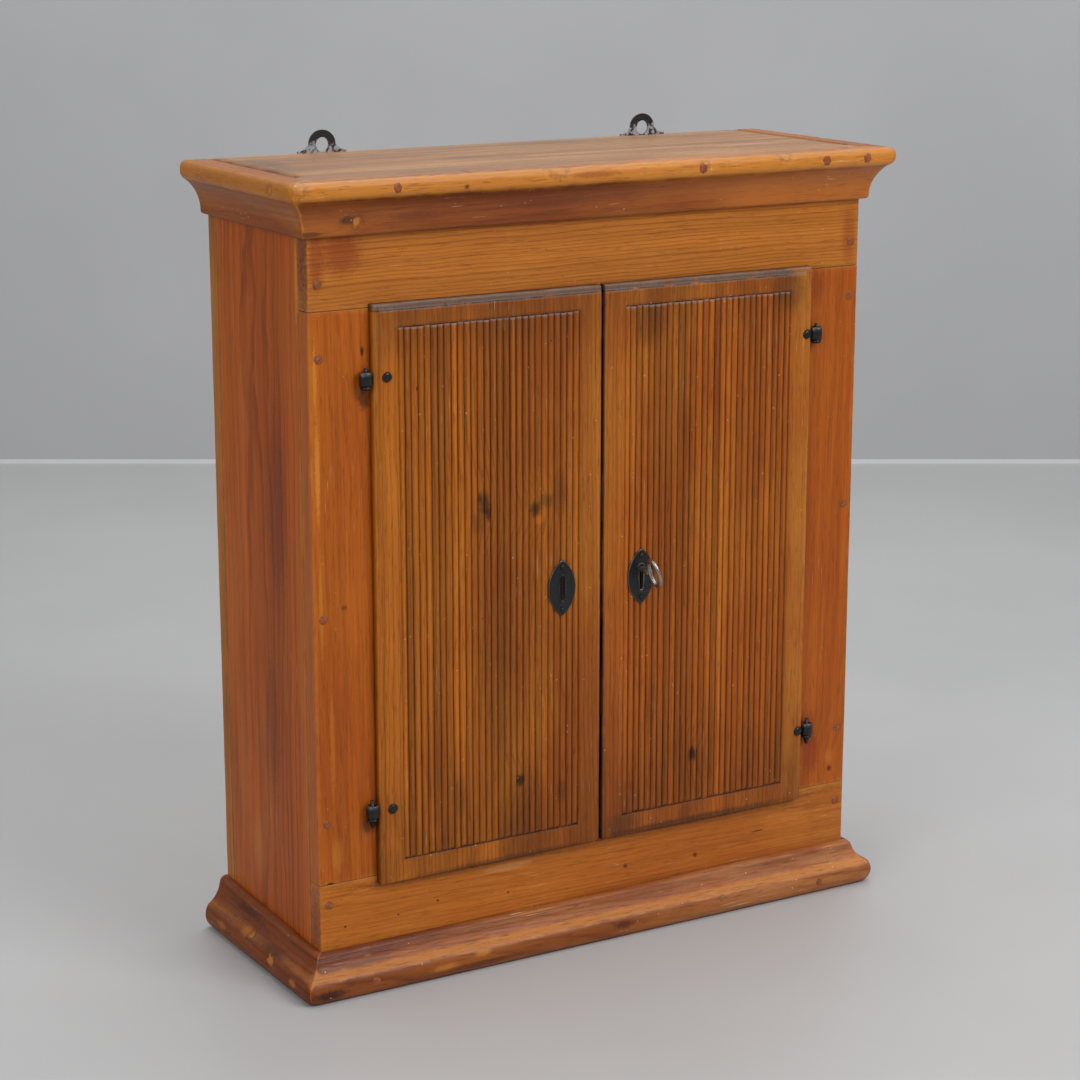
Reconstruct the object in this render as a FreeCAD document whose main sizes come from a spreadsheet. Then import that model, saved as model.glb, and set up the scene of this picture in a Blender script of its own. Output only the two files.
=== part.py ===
import FreeCAD, Part
import math
import os
import re
import Sketcher
from FreeCAD import Rotation, Vector

# Two-door pine wall cupboard, in millimetres.
# X runs to the right seen from the front, Y from the doors to the wall, Z up from the floor.
# The origin lies on the floor, in the middle of the width and of the depth from the key to the wall.

doc = FreeCAD.newDocument("wall_cupboard")

sizes = [
    # carcass and face frame
    ("case_width", 624, "outside of one side board to the other"),
    ("case_depth", 220, "front of the face frame to the wall"),
    ("case_height", 790, "floor to the top surface"),
    ("side_thick", 20, "side boards"),
    ("frame_thick", 20, "rails and stiles, front to back"),
    ("back_thick", 18, "back boards"),
    ("back_gap", 1, "between two back boards"),
    ("top_thick", 18, "top board"),
    ("bottom_thick", 15, "bottom board"),
    ("shelf_thick", 16, "shelves"),
    ("shelf_setback", 26, "face frame to the front of a shelf"),
    ("housing_depth", 5, "shelf ends let into the sides"),
    ("stile_width", 70, "stiles of the face frame"),
    ("opening_low", 112, "floor to the top of the bottom rail"),
    ("rail_show", 68, "top rail below the cornice"),
    # pegs of the face frame
    ("peg_radius", 4.5, "round pegs"),
    ("peg_proud", 0.4, "peg ends in front of the frame and the plinth"),
    ("peg_grip", 25, "peg length inside the side board or the bottom rail"),
    ("peg_above", 25, "door opening to the pegs in the top rail"),
    ("peg_clear", 1, "bottom board to the pegs below it"),
    ("peg_drop_left", 44, "top rail to the upper peg, left stile"),
    ("peg_drop_right", 31, "top rail to the upper peg, right stile"),
    ("peg_rise_left", 265, "bottom rail to the middle peg, left stile"),
    ("peg_rise_right", 307, "bottom rail to the middle peg, right stile"),
    ("peg_rise_low", 62, "bottom rail to the lower pegs of the stiles"),
    # cornice
    ("cornice_height", 53, "cornice, top to underside"),
    ("cornice_reach", 28, "cornice nose in front of the carcass"),
    ("cornice_nose", 9.8, "radius of the nose"),
    ("cornice_foot", 7.6, "thickness at the underside"),
    ("cornice_round", 4, "radius of the lower edge"),
    ("nose_peg_side", 8.5, "square pegs in the nose"),
    ("nose_peg_grip", 20, "square peg length inside the top board"),
    ("nose_peg_left", 80, "left side board to the left peg"),
    ("nose_peg_middle", 210, "right side board to the middle peg"),
    ("nose_peg_right", 62, "right side board to the right peg"),
    ("nose_peg_end", 12, "right side board to the peg at the right end"),
    # plinth
    ("plinth_height", 53, "floor to the top of the base moulding"),
    ("plinth_reach", 26, "base moulding in front of the carcass"),
    ("plinth_round", 18.8, "radius of the lower round"),
    ("plinth_middle", 13.8, "height of the most prominent line"),
    ("plinth_cove_low", 25.4, "height of the lower end of the cove"),
    ("plinth_cove_high", 43.5, "height of the upper end of the cove"),
    ("plinth_neck", 9.5, "thickness at the upper end of the cove"),
    ("plinth_quirk", 1, "small step above the cove"),
    ("plinth_bead", 12, "radius of the top bead"),
    ("plinth_lip", 0.6, "flat edge at the top"),
    ("plinth_peg_inset", 47, "side board to each peg in the plinth"),
    # nails of the side mouldings and of the back
    ("brad_radius", 1.8, "nails in the side mouldings"),
    ("brad_grip", 14, "nail length inside the side board"),
    ("brad_setback", 95, "face frame to a nail of the side mouldings"),
    ("cornice_brad_rise", 13, "underside of the cornice to its nail"),
    ("plinth_brad_height", 36, "floor to the nail of the plinth"),
    ("back_nail_spread", 55, "middle of a back board to each nail"),
    ("back_nail_head", 3.5, "radius of the nail heads"),
    ("back_nail_cap", 1.5, "thickness of the nail heads"),
    ("back_nail_sunk", 0.5, "nail heads below the back"),
    ("back_nail_shank", 1.4, "radius of the nails"),
    ("back_nail_length", 40, "nails, head to point"),
    # hanging lugs
    ("hanger_spread", 376, "between the two hanging holes"),
    ("hanger_hole", 7.2, "radius of the hanging hole"),
    ("hanger_rise", 8, "top of the cupboard to the centre of the hole"),
    ("hanger_arch", 14.5, "outer radius round the hole"),
    ("hanger_width", 54, "plate behind the back boards"),
    ("hanger_drop", 42, "plate below the top of the cupboard"),
    ("hanger_ear", 2, "ears above the top of the cupboard"),
    ("hanger_thick", 2.5, "plate"),
    # doors
    ("door_gap", 4, "between the two doors"),
    ("door_thick", 22, "door boards"),
    ("door_proud", 9, "door face in front of the face frame"),
    ("door_round", 4, "rounded front edges"),
    ("lip_side", 8, "door over the stile"),
    ("lip_high", 4, "door over the top rail"),
    ("lip_low", 7, "door over the bottom rail"),
    ("lip_gap", 0.5, "lip to the face frame"),
    ("rebate_gap", 2, "door inside the opening"),
    # reeded field
    ("reed_count", 28, "reeds on a door"),
    ("reed_sink", 0.5, "reeds below the door face"),
    ("reed_depth", 2.6, "grooves below the reeds"),
    ("reed_land", 0.7, "worn flat along each reed"),
    ("border_hinge", 24, "field to the hinge edge"),
    ("border_meet", 26.5, "field to the meeting edge"),
    ("border_high", 23, "field to the top edge"),
    ("border_low", 21.5, "field to the bottom edge"),
    # hinges
    ("eye_gap", 1, "eye to the door edge"),
    ("eye_clear", 0.5, "eye to the face frame"),
    ("hinge_from_top", 69, "door top to the upper hinge"),
    ("hinge_from_bottom", 76, "door bottom to the lower hinge"),
    ("pin_radius", 2.5, "hinge pins"),
    ("pin_above", 4.5, "pin above the eye"),
    ("eye_radius", 6, "rolled eye"),
    ("eye_height", 14, "eye and leaf"),
    ("leaf_thick", 2, "leaf inside the door"),
    ("leaf_shift", 1.5, "leaf behind the hinge axis"),
    ("leaf_length", 36, "hinge axis to the end of the leaf"),
    ("collar_radius", 5, "collar under the eye"),
    ("collar_height", 2, "collar under the eye"),
    ("point_length", 9, "pointed foot of the pin"),
    ("point_wide", 3.4, "upper radius of the foot"),
    ("point_tip", 0.8, "lower radius of the foot"),
    ("tang_side", 5, "square tang"),
    ("tang_grip", 17, "tang inside the stile"),
    ("nail_head", 4.9, "radius of the hinge nail heads"),
    ("nail_crown", 3, "radius of the flat on a nail head"),
    ("nail_cap", 2.2, "height of the nail heads"),
    ("nail_shank", 1.6, "radius of the hinge nails"),
    ("nail_length", 7.5, "nail inside the door"),
    ("nail_inset_left", 14, "door edge to the nails, left door"),
    ("nail_inset_right", 6, "door edge to the nails, right door"),
    # key plates
    ("plate_width", 31, "pointed oval key plates"),
    ("plate_height", 58, "pointed oval key plates"),
    ("plate_thick", 1.5, "key plates"),
    ("plate_clear", 2, "edge of the field to the plate"),
    ("plate_nail_offset", 21.5, "middle of the plate to its nails"),
    ("plate_nail_head", 2.2, "radius of the plate nail heads"),
    ("plate_nail_cap", 1, "height of the plate nail heads"),
    ("plate_nail_shank", 0.9, "radius of the plate nails"),
    ("plate_nail_length", 9, "plate nail inside the door"),
    ("slot_width", 5, "slot of the left plate"),
    ("slot_height", 25, "slot of the left plate"),
    ("lock_height", 376, "floor to the middle of the key plates"),
    ("key_rise", 8, "middle of the plate to the key"),
    ("keyhole_radius", 4.2, "round part of the keyhole"),
    ("keyhole_width", 4.2, "slot of the keyhole"),
    ("keyhole_drop", 21, "key to the lower end of the slot"),
    # key
    ("key_reach", 45, "front of the key before the face frame"),
    ("key_tilt", 17, "degrees that the key is turned"),
    ("bow_height", 32, "bow of the key, across"),
    ("bow_length", 22, "bow of the key, along the stem"),
    ("bow_wire", 2.2, "radius of the bow's round bar"),
    ("bow_end", 6, "radius of the tight bends of the bow"),
    ("stem_radius", 3.2, "stem of the key"),
    ("stem_ring", 4, "ring on the stem, radius"),
    ("stem_ring_length", 3, "ring on the stem"),
    ("bit_reach", 12, "key axis to the end of the bit"),
    ("bit_thick", 3, "bit"),
    ("bit_length", 7, "bit, along the stem"),
    # lock
    ("lock_inset", 1, "meeting edge to the lock"),
    ("lock_width", 76, "lock plate and case"),
    ("lock_below", 18, "key to the bottom of the case"),
    ("lock_above", 32, "key to the top of the case"),
    ("lock_deep", 13, "case"),
    ("lock_wall", 1.5, "walls of the case, and the plate"),
    ("lock_flange", 9, "plate beyond the case, above and below"),
    ("throw", 13, "travel of the lock bolt in one turn of the key"),
    ("bolt_rise", 9, "key to the lower edge of the bolt"),
    ("bolt_height", 16, "lock bolt"),
    ("bolt_thick", 5, "lock bolt"),
    ("bolt_back", 5, "door to the bolt"),
    ("bolt_length", 70, "lock bolt"),
    ("bolt_proud", 0.5, "drawn bolt beyond the case"),
    ("talon_width", 28, "notch that the bit turns in"),
    ("talon_depth", 4, "notch that the bit turns in"),
    ("stump_radius", 2, "stud that guides the bolt"),
    ("stump_inset", 16, "edge of the case to the stud"),
    ("spring_thick", 0.8, "leaf spring on the bolt"),
    ("spring_length", 50, "leaf spring on the bolt"),
    # keeper of the lock bolt
    ("keeper_inset", 2, "meeting edge to the keeper"),
    ("keeper_wide", 13, "keeper"),
    ("keeper_thick", 2, "keeper"),
    ("keeper_deep", 12, "keeper, off the door"),
    ("keeper_foot", 14, "feet of the keeper"),
    ("keeper_play", 1.5, "bolt to the keeper"),
    # slide bolt of the left door
    ("slide_inset", 24, "meeting edge to the slide bolt"),
    ("slide_width", 10, "slide bolt"),
    ("slide_thick", 4, "slide bolt"),
    ("slide_length", 68, "slide bolt"),
    ("slide_below", 3, "drawn slide bolt below the opening"),
    ("slide_play", 0.3, "slide bolt to its guides"),
    ("slide_plate_width", 30, "back plate of the slide bolt"),
    ("slide_plate_length", 72, "back plate of the slide bolt"),
    ("slide_plate_thick", 1.5, "back plate and straps"),
    ("slide_plate_drop", 8, "opening to the top of the back plate"),
    ("strap_height", 9, "straps over the slide bolt"),
    ("strap_margin", 12, "end of the plate to a strap"),
    ("knob_radius", 4, "knob of the slide bolt"),
    ("knob_length", 8, "knob of the slide bolt"),
    ("catch_depth", 15, "notch in the top rail"),
    # wood screws
    ("screw_head", 3, "radius of the screw heads"),
    ("screw_cap", 2, "height of the screw heads"),
    ("screw_shank", 1.5, "radius of the screws"),
    ("screw_length", 12, "screws, head to point"),
    ("screw_margin", 5, "screw to the edge of a fitting"),
    ("screw_slot", 0.8, "width and depth of the slot"),
    # fits
    ("fit_gap", 0.05, "driven pegs, nails and screws"),
    ("bore_lead", 1, "peg holes begin this far outside the wood"),
    ("run_gap", 0.05, "turning pins"),
    ("seat_gap", 0.2, "between sliding or resting faces"),
]

# Places worked out from the sizes.
derived = {
    "half": "case_width / 2",
    "inner_half": "half - side_thick",
    "front": "(key_reach - case_depth) / 2",
    "wall": "front + case_depth",
    "frame_back": "front + frame_thick",
    "back_face": "wall - back_thick",
    "board_top": "case_height - top_thick",
    "bay": "(board_top - opening_low - 2 * shelf_thick) / 3",
    "shelf_lower_low": "opening_low + bay",
    "shelf_upper_low": "opening_low + 2 * bay + shelf_thick",
    "shelf_front": "frame_back + shelf_setback",
    "back_width": "(case_width - 2 * back_gap) / 3",
    "peg_x": "half - side_thick / 2",
    "peg_bottom": "opening_low - bottom_thick - peg_radius - peg_clear",
    "nose_peg_z": "case_height - top_thick / 2",
    "cornice_low": "case_height - cornice_height",
    "opening_high": "cornice_low - rail_show",
    "hanger_low": "case_height - hanger_drop",
    "door_face": "front - door_proud",
    "door_back": "door_face + door_thick",
    "door_inner": "door_gap / 2",
    "door_outer": "half - stile_width + lip_side",
    "door_width": "door_outer - door_inner",
    "door_low": "opening_low - lip_low",
    "door_high": "opening_high + lip_high",
    "door_height": "door_high - door_low",
    "lip_thick": "door_proud - lip_gap",
    "reed_face": "door_face + reed_sink",
    "field_width": "door_width - border_hinge - border_meet",
    "field_height": "door_height - border_high - border_low",
    "reed_pitch": "field_width / reed_count",
    "hinge_out": "eye_radius + eye_clear",
    "axis_x": "door_outer + eye_gap + eye_radius",
    "axis_y": "front - hinge_out",
    "hinge_upper": "door_high - hinge_from_top",
    "hinge_lower": "door_low + hinge_from_bottom",
    "leaf_face": "axis_y + leaf_shift - leaf_thick / 2",
    "plate_x": "door_inner + border_meet + plate_clear + plate_width / 2",
    "key_z": "lock_height + key_rise",
    "keyhole_front": "door_face - plate_thick",
    "keyhole_run": "plate_thick + door_thick + lock_wall",
    "bow_tip": "bow_height / 2 - bow_wire - bow_end",
    "bow_depth": "bow_length / 2 - bow_wire",
    "bow_flat": "(bow_tip ^ 2 + bow_depth ^ 2 - bow_end ^ 2) / (2 * (bow_depth - bow_end))",
    "bow_turn": "atan((bow_flat - bow_depth) / bow_tip) / 1 deg",
    "lock_x": "door_inner + lock_inset",
    "lock_face": "door_back + lock_wall",
    "lock_low": "key_z - lock_below",
    "lock_tall": "lock_below + lock_above",
    "bolt_y": "door_back + bolt_back",
    "bolt_z": "key_z + bolt_rise",
    "bolt_middle": "bolt_z + bolt_height / 2",
    "stump_x": "lock_x + stump_inset",
    "stump_room": "stump_radius + seat_gap",
    "keeper_gap": "bolt_height / 2 + keeper_play",
    "keeper_x": "-door_inner - keeper_inset - keeper_wide",
    "slide_x": "-door_inner - slide_inset",
    "slide_face": "door_back + slide_plate_thick + slide_play",
    "slide_top": "opening_high - slide_below",
    "slide_plate_top": "opening_high - slide_plate_drop",
    "slide_plate_low": "slide_plate_top - slide_plate_length",
    "slide_gap": "slide_thick + 2 * slide_play",
}

sheet = doc.addObject("Spreadsheet::Sheet", "Sizes")
for row, (alias, number, meaning) in enumerate(sizes, 1):
    sheet.set("A%d" % row, meaning)
    sheet.set("B%d" % row, str(number))
    sheet.setAlias("B%d" % row, alias)
doc.recompute()

aliases = {alias for alias, number, meaning in sizes}
nodes = []


def formula(text):
    """Writes size and place names out as cells of the sheet."""
    def cell(match):
        word = match.group(0)
        if word in derived:
            return "(" + formula(derived[word]) + ")"
        return "Sizes." + word if word in aliases else word
    return re.sub(r"[a-z_]+", cell, str(text))


def value(text):
    return float(sheet.evalExpression(formula(text)))


def bind(thing, **formulas):
    for name, text in formulas.items():
        thing.setExpression(name, formula(text))


def place(thing, x, y, z):
    for axis, text in zip("xyz", (x, y, z)):
        thing.setExpression("Placement.Base." + axis, formula(text))
    return thing


def node(piece):
    """Marks an object as one sub-part, with a file of its own."""
    nodes.append(piece)
    return piece


def box(name, low, size):
    block = doc.addObject("Part::Box", name)
    bind(block, Length=size[0], Width=size[1], Height=size[2])
    return place(block, *low)


# Turns a round piece that stands on its base to the way it is driven.
ways = {
    "+x": Rotation(Vector(0, 1, 0), 90),
    "-x": Rotation(Vector(0, 1, 0), -90),
    "+y": Rotation(Vector(1, 0, 0), -90),
    "-y": Rotation(Vector(1, 0, 0), 90),
    "+z": Rotation(),
}


def rod(name, base, way, radius, length):
    piece = doc.addObject("Part::Cylinder", name)
    piece.Placement = FreeCAD.Placement(Vector(), ways[way])
    bind(piece, Radius=radius, Height=length)
    return place(piece, *base)


def taper(name, base, way, first, last, length):
    piece = doc.addObject("Part::Cone", name)
    piece.Placement = FreeCAD.Placement(Vector(), ways[way])
    bind(piece, Radius1=first, Radius2=last, Height=length)
    return place(piece, *base)


def group(name, pieces):
    gathered = doc.addObject("Part::Compound", name)
    gathered.Links = pieces
    return gathered


def join(name, pieces):
    joined = doc.addObject("Part::MultiFuse", name)
    joined.Shapes = pieces
    return joined


def cut(name, base, tools):
    piece = doc.addObject("Part::Cut", name)
    piece.Base = base
    piece.Tool = tools[0] if len(tools) == 1 else join(name + "_cuts", tools)
    return piece


def plane(body, role):
    return next(feature for feature in body.Origin.OriginFeatures if feature.Role == role)


def sketch_on(body, role, name):
    sketch = body.newObject("Sketcher::SketchObject", name)
    sketch.AttachmentSupport = [(plane(body, role), "")]
    sketch.MapMode = "FlatFace"
    return sketch


def drive(sketch, constraint, text):
    number = sketch.addConstraint(constraint)
    sketch.setExpression("Constraints[%d]" % number, formula(text))


def fix_point(sketch, edge, end, x, y):
    """Ties one end of an edge to a place given by two formulas."""
    for kind, axis, text in (("DistanceX", -2, x), ("DistanceY", -1, y)):
        if text == "0":
            sketch.addConstraint(Sketcher.Constraint("PointOnObject", edge, end, axis))
        else:
            drive(sketch, Sketcher.Constraint(kind, -1, 1, edge, end, value(text)), text)


def outline(sketch, corners):
    """Closed outline. A corner is (x, y), or (x, y, radius, side) where an arc leads to the next corner.

    Side 1 bulges to the left of the way round, side -1 to the right. An arc is always drawn
    anticlockwise, so that one with side 1 starts at its far corner.
    """
    points = [Vector(value(corner[0]), value(corner[1]), 0) for corner in corners]
    first = sketch.GeometryCount
    ends = []
    for number, corner in enumerate(corners):
        start = points[number]
        stop = points[(number + 1) % len(points)]
        if len(corner) == 2:
            edge = Part.LineSegment(start, stop)
        else:
            chord = stop - start
            radius = value(corner[2])
            rise = radius - math.sqrt(radius ** 2 - (chord.Length / 2) ** 2)
            left = Vector(-chord.y, chord.x, 0).normalize()
            crest = (start + stop) / 2 + left * rise * corner[3]
            edge = Part.Arc(stop, crest, start) if corner[3] == 1 else Part.Arc(start, crest, stop)
        sketch.addGeometry(edge)
        ends.append((2, 1) if corner[3:] == (1,) else (1, 2))
    for number, corner in enumerate(corners):
        edge = first + number
        following = (number + 1) % len(corners)
        joint = (edge, ends[number][1], first + following, ends[following][0])
        sketch.addConstraint(Sketcher.Constraint("Coincident", *joint))
        fix_point(sketch, edge, ends[number][0], corner[0], corner[1])
        if len(corner) == 4:
            drive(sketch, Sketcher.Constraint("Radius", edge, value(corner[2])), corner[2])


def rectangle(sketch, x, y, wide, tall):
    right = "%s + %s" % (x, wide)
    high = "%s + %s" % (y, tall)
    outline(sketch, [(x, y), (right, y), (right, high), (x, high)])


def circle(sketch, x, y, radius):
    edge = sketch.addGeometry(Part.Circle(Vector(value(x), value(y), 0), Vector(0, 0, 1), value(radius)))
    drive(sketch, Sketcher.Constraint("Radius", edge, value(radius)), radius)
    fix_point(sketch, edge, 3, x, y)


def pad(body, sketch, length, backwards=False):
    feature = body.newObject("PartDesign::Pad", sketch.Name + "_pad")
    feature.Profile = sketch
    feature.Reversed = backwards
    bind(feature, Length=length)
    return feature


def pocket(body, sketch, length, backwards=False):
    feature = body.newObject("PartDesign::Pocket", sketch.Name + "_pocket")
    feature.Profile = sketch
    feature.Reversed = backwards
    bind(feature, Length=length)
    return feature


def arc_radius(across, along):
    """Radius of an arc that leaves straight along and ends at the given offset."""
    return "((%s) ^ 2 + (%s) ^ 2) / (2 * (%s))" % (across, along, across)


def headed(name, base, way, head, cap, shank, length, spare="0"):
    """Nail with a flat head, or with spare the hole that it is driven into."""
    top = rod(name + "_head", base, way, "%s + %s" % (head, spare), cap)
    stem = rod(name + "_stem", base, way, "%s + %s" % (shank, spare), "%s + %s" % (length, spare))
    return join(name, [top, stem])


def screw(name, base, way):
    """Countersunk wood screw with a slotted head, driven along Y."""
    top = taper(name + "_head", base, way, "screw_head", "screw_shank", "screw_cap")
    stem = rod(name + "_stem", base, way, "screw_shank", "screw_length")
    x, y, z = base
    depth = y if way == "+y" else y + " - screw_slot"
    slot_low = (x + " - screw_head", depth, z + " - screw_slot / 2")
    slot = box(name + "_slot", slot_low, ("2 * screw_head", "screw_slot", "screw_slot"))
    return cut(name, join(name + "_blank", [top, stem]), [slot])


def screw_hole(name, base, way):
    top = taper(name + "_head", base, way, "screw_head + fit_gap", "screw_shank + fit_gap", "screw_cap")
    stem = rod(name + "_stem", base, way, "screw_shank + fit_gap", "screw_length + fit_gap")
    return join(name, [top, stem])


def screws(name, spots, way):
    """A group of screws, and the holes for them."""
    made = [screw("%s_%d" % (name, number), spot, way) for number, spot in enumerate(spots)]
    holes = [screw_hole("%s_hole_%d" % (name, number), spot, way) for number, spot in enumerate(spots)]
    node(group(name, made))
    return holes


# Face frame pegs: driven from the front through the frame into the edges of the side boards.
peg_heights = {
    "left": ["opening_high - peg_drop_left", "opening_low + peg_rise_left", "opening_low + peg_rise_low"],
    "right": ["opening_high - peg_drop_right", "opening_low + peg_rise_right", "opening_low + peg_rise_low"],
}
signs = {"left": "-", "right": ""}
pegs = []
peg_holes = {"left": [], "right": []}
for side in ("left", "right"):
    for number, height in enumerate(peg_heights[side] + ["opening_high + peg_above", "peg_bottom"]):
        spot = (signs[side] + "peg_x", "front - peg_proud", height)
        name = "peg_%s_%d" % (side, number)
        length = "peg_proud + frame_thick + peg_grip"
        pegs.append(rod(name, spot, "+y", "peg_radius", length))
        hole = rod(name + "_hole", spot, "+y", "peg_radius + fit_gap", length + " + fit_gap")
        peg_holes[side].append(hole)
node(group("frame_pegs", pegs))

# Nails through the side mouldings into the side boards.
brads = []
brad_holes = {"cornice": {}, "plinth": {}}
for side in ("left", "right"):
    way = "+x" if side == "left" else "-x"
    for moulding, reach, height in (("cornice", "cornice_foot", "cornice_low + cornice_brad_rise"),
                                    ("plinth", "plinth_neck", "plinth_brad_height")):
        name = "brad_%s_%s" % (moulding, side)
        spot = ("%s(half + %s)" % (signs[side], reach), "front + brad_setback", height)
        length = reach + " + brad_grip"
        brads.append(rod(name, spot, way, "brad_radius", length))
        open_spot = ("%s(half + %s_reach)" % (signs[side], moulding), "front + brad_setback", height)
        open_length = moulding + "_reach + brad_grip + fit_gap"
        hole = rod(name + "_hole", open_spot, way, "brad_radius + fit_gap", open_length)
        brad_holes[moulding][side] = hole
node(group("moulding_nails", brads))

# Nails through the back boards into the bottom board and the shelves.
boards = {
    "bottom_board": ("opening_low - bottom_thick", "bottom_thick", "frame_back"),
    "shelf_lower": ("shelf_lower_low", "shelf_thick", "shelf_front"),
    "shelf_upper": ("shelf_upper_low", "shelf_thick", "shelf_front"),
}
back_places = {"left": "-back_width - back_gap", "middle": "0", "right": "back_width + back_gap"}
back_nails = []
back_nail_holes = {}
for board, (low, thick, board_front) in boards.items():
    for column, middle in back_places.items():
        for hand in ("-", "+"):
            height = "%s + %s / 2" % (low, thick)
            spot = (middle + hand + " back_nail_spread", "wall - back_nail_sunk", height)
            name = "back_nail_%s_%s_%d" % (board, column, len(back_nails))
            shape = ("-y", "back_nail_head", "back_nail_cap", "back_nail_shank", "back_nail_length")
            back_nails.append(headed(name, spot, *shape))
            well = rod(name + "_well", (spot[0], "wall", spot[2]), "-y", "back_nail_head + fit_gap",
                       "back_nail_sunk + back_nail_cap")
            hole = rod(name + "_hole", (spot[0], "wall", spot[2]), "-y", "back_nail_shank + fit_gap",
                       "back_nail_sunk + back_nail_length + fit_gap")
            back_nail_holes.setdefault(column, []).extend([well, hole])
            back_nail_holes.setdefault(board, []).append(hole)
node(group("back_nails", back_nails))

# Bottom board and shelves, with their ends housed in the sides.
housings = {"left": [], "right": []}
for board, (low, thick, board_front) in boards.items():
    deep = "back_face - (%s)" % board_front
    blank = box(board + "_blank", ("-inner_half - housing_depth", board_front, low),
                ("2 * (inner_half + housing_depth)", deep, thick))
    node(cut(board, blank, back_nail_holes[board]))
    for side in ("left", "right"):
        edge = "-inner_half - housing_depth" if side == "left" else "inner_half"
        name = "%s_housing_%s" % (board, side)
        housings[side].append(box(name, (edge, board_front, low), ("housing_depth", deep, thick)))

# Side boards.
for side in ("left", "right"):
    low = ("-half" if side == "left" else "inner_half", "frame_back", "0")
    blank = box("side_%s_blank" % side, low, ("side_thick", "back_face - frame_back", "board_top"))
    holes = [brad_holes[moulding][side] for moulding in ("cornice", "plinth")]
    node(cut("side_" + side, blank, housings[side] + peg_holes[side] + holes))

# Hanging lugs, let in flush behind the back boards and the top board.
hanger_spots = {"left": "-hanger_spread / 2", "right": "hanger_spread / 2"}
hanger_rests = {}
hanger_plates = {}
screw_spots = []
for side, middle in hanger_spots.items():
    body = doc.addObject("PartDesign::Body", "hanger_%s_plate" % side)
    face = sketch_on(body, "XZ_Plane", "hanger_%s_face" % side)
    arch_left = "hanger_width / 2 - hanger_arch"
    arch_right = "hanger_width / 2 + hanger_arch"
    ear_high = "hanger_drop + hanger_ear"
    hole_high = "hanger_drop + hanger_rise"
    flare = arc_radius("hanger_rise - hanger_ear", "hanger_width / 2 - hanger_arch")
    outline(face, [
        ("0", "0"),
        ("hanger_width", "0"),
        ("hanger_width", ear_high, flare, 1),
        (arch_right, hole_high, "hanger_arch", -1),
        ("hanger_width / 2", hole_high + " + hanger_arch", "hanger_arch", -1),
        (arch_left, hole_high, flare, 1),
        ("0", ear_high),
    ])
    circle(face, "hanger_width / 2", hole_high, "hanger_hole")
    pad(body, face, "hanger_thick", backwards=True)
    place(body, middle + " - hanger_width / 2", "wall - hanger_thick", "hanger_low")
    spots = [(middle + " - hanger_width / 2 + 2 * screw_margin", "wall", "board_top - 2 * screw_margin"),
             (middle + " + hanger_width / 2 - 2 * screw_margin", "wall", "board_top - 2 * screw_margin"),
             (middle, "wall", "hanger_low + screw_margin")]
    screw_spots.extend(spots)
    rest_low = (middle + " - hanger_width / 2", "wall - hanger_thick", "hanger_low")
    rest_size = ("hanger_width", "hanger_thick", "hanger_drop")
    hanger_rests[side] = box("hanger_%s_rest" % side, rest_low, rest_size)
    hanger_plates[side] = body
hanger_screw_holes = screws("hanger_screws", screw_spots, "-y")
for number, side in enumerate(("left", "right")):
    own = hanger_screw_holes[3 * number:3 * number + 3]
    node(cut("hanger_" + side, hanger_plates[side], own))

# Back boards.
for column, middle in back_places.items():
    blank = box("back_board_%s_blank" % column, (middle + " - back_width / 2", "back_face", "0"),
                ("back_width", "back_thick", "board_top"))
    tools = list(back_nail_holes[column])
    if column == "left":
        tools += [hanger_rests["left"]] + hanger_screw_holes[:3]
    if column == "right":
        tools += [hanger_rests["right"]] + hanger_screw_holes[3:]
    node(cut("back_board_" + column, blank, tools))

# Square pegs through the nose of the front cornice into the top board.
nose_pegs = []
nose_peg_holes = []
nose_peg_places = ["-half + nose_peg_left"]
nose_peg_places += ["half - nose_peg_" + spot for spot in ("middle", "right", "end")]
for middle in nose_peg_places:
    name = "nose_peg_%d" % len(nose_pegs)
    low = (middle + " - nose_peg_side / 2", "front - cornice_reach", "nose_peg_z - nose_peg_side / 2")
    long = "cornice_reach + nose_peg_grip"
    nose_pegs.append(box(name, low, ("nose_peg_side", long, "nose_peg_side")))
    wide_low = (low[0] + " - fit_gap", low[1] + " - bore_lead", low[2] + " - fit_gap")
    wide = "nose_peg_side + 2 * fit_gap"
    nose_peg_holes.append(box(name + "_hole", wide_low, (wide, long + " + bore_lead + fit_gap", wide)))
node(group("cornice_pegs", nose_pegs))

# Round pegs through the plinth into the bottom rail.
plinth_pegs = []
plinth_peg_holes = []
for hand in ("-", ""):
    name = "plinth_peg_%d" % len(plinth_pegs)
    spot = (hand + "(half - plinth_peg_inset)", "front - plinth_reach", "plinth_middle")
    plinth_pegs.append(rod(name, spot, "+y", "peg_radius", "plinth_reach + frame_thick"))
    open_spot = (spot[0], spot[1] + " - bore_lead", spot[2])
    open_length = "bore_lead + plinth_reach + frame_thick"
    hole = rod(name + "_hole", open_spot, "+y", "peg_radius + fit_gap", open_length)
    plinth_peg_holes.append(hole)
node(group("plinth_pegs", plinth_pegs))

# Top board, inside the cornice.
top_blank = box("top_board_blank", ("-half", "front", "board_top"),
                ("case_width", "case_depth", "top_thick"))
node(cut("top_board", top_blank, list(hanger_rests.values()) + nose_peg_holes))

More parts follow.
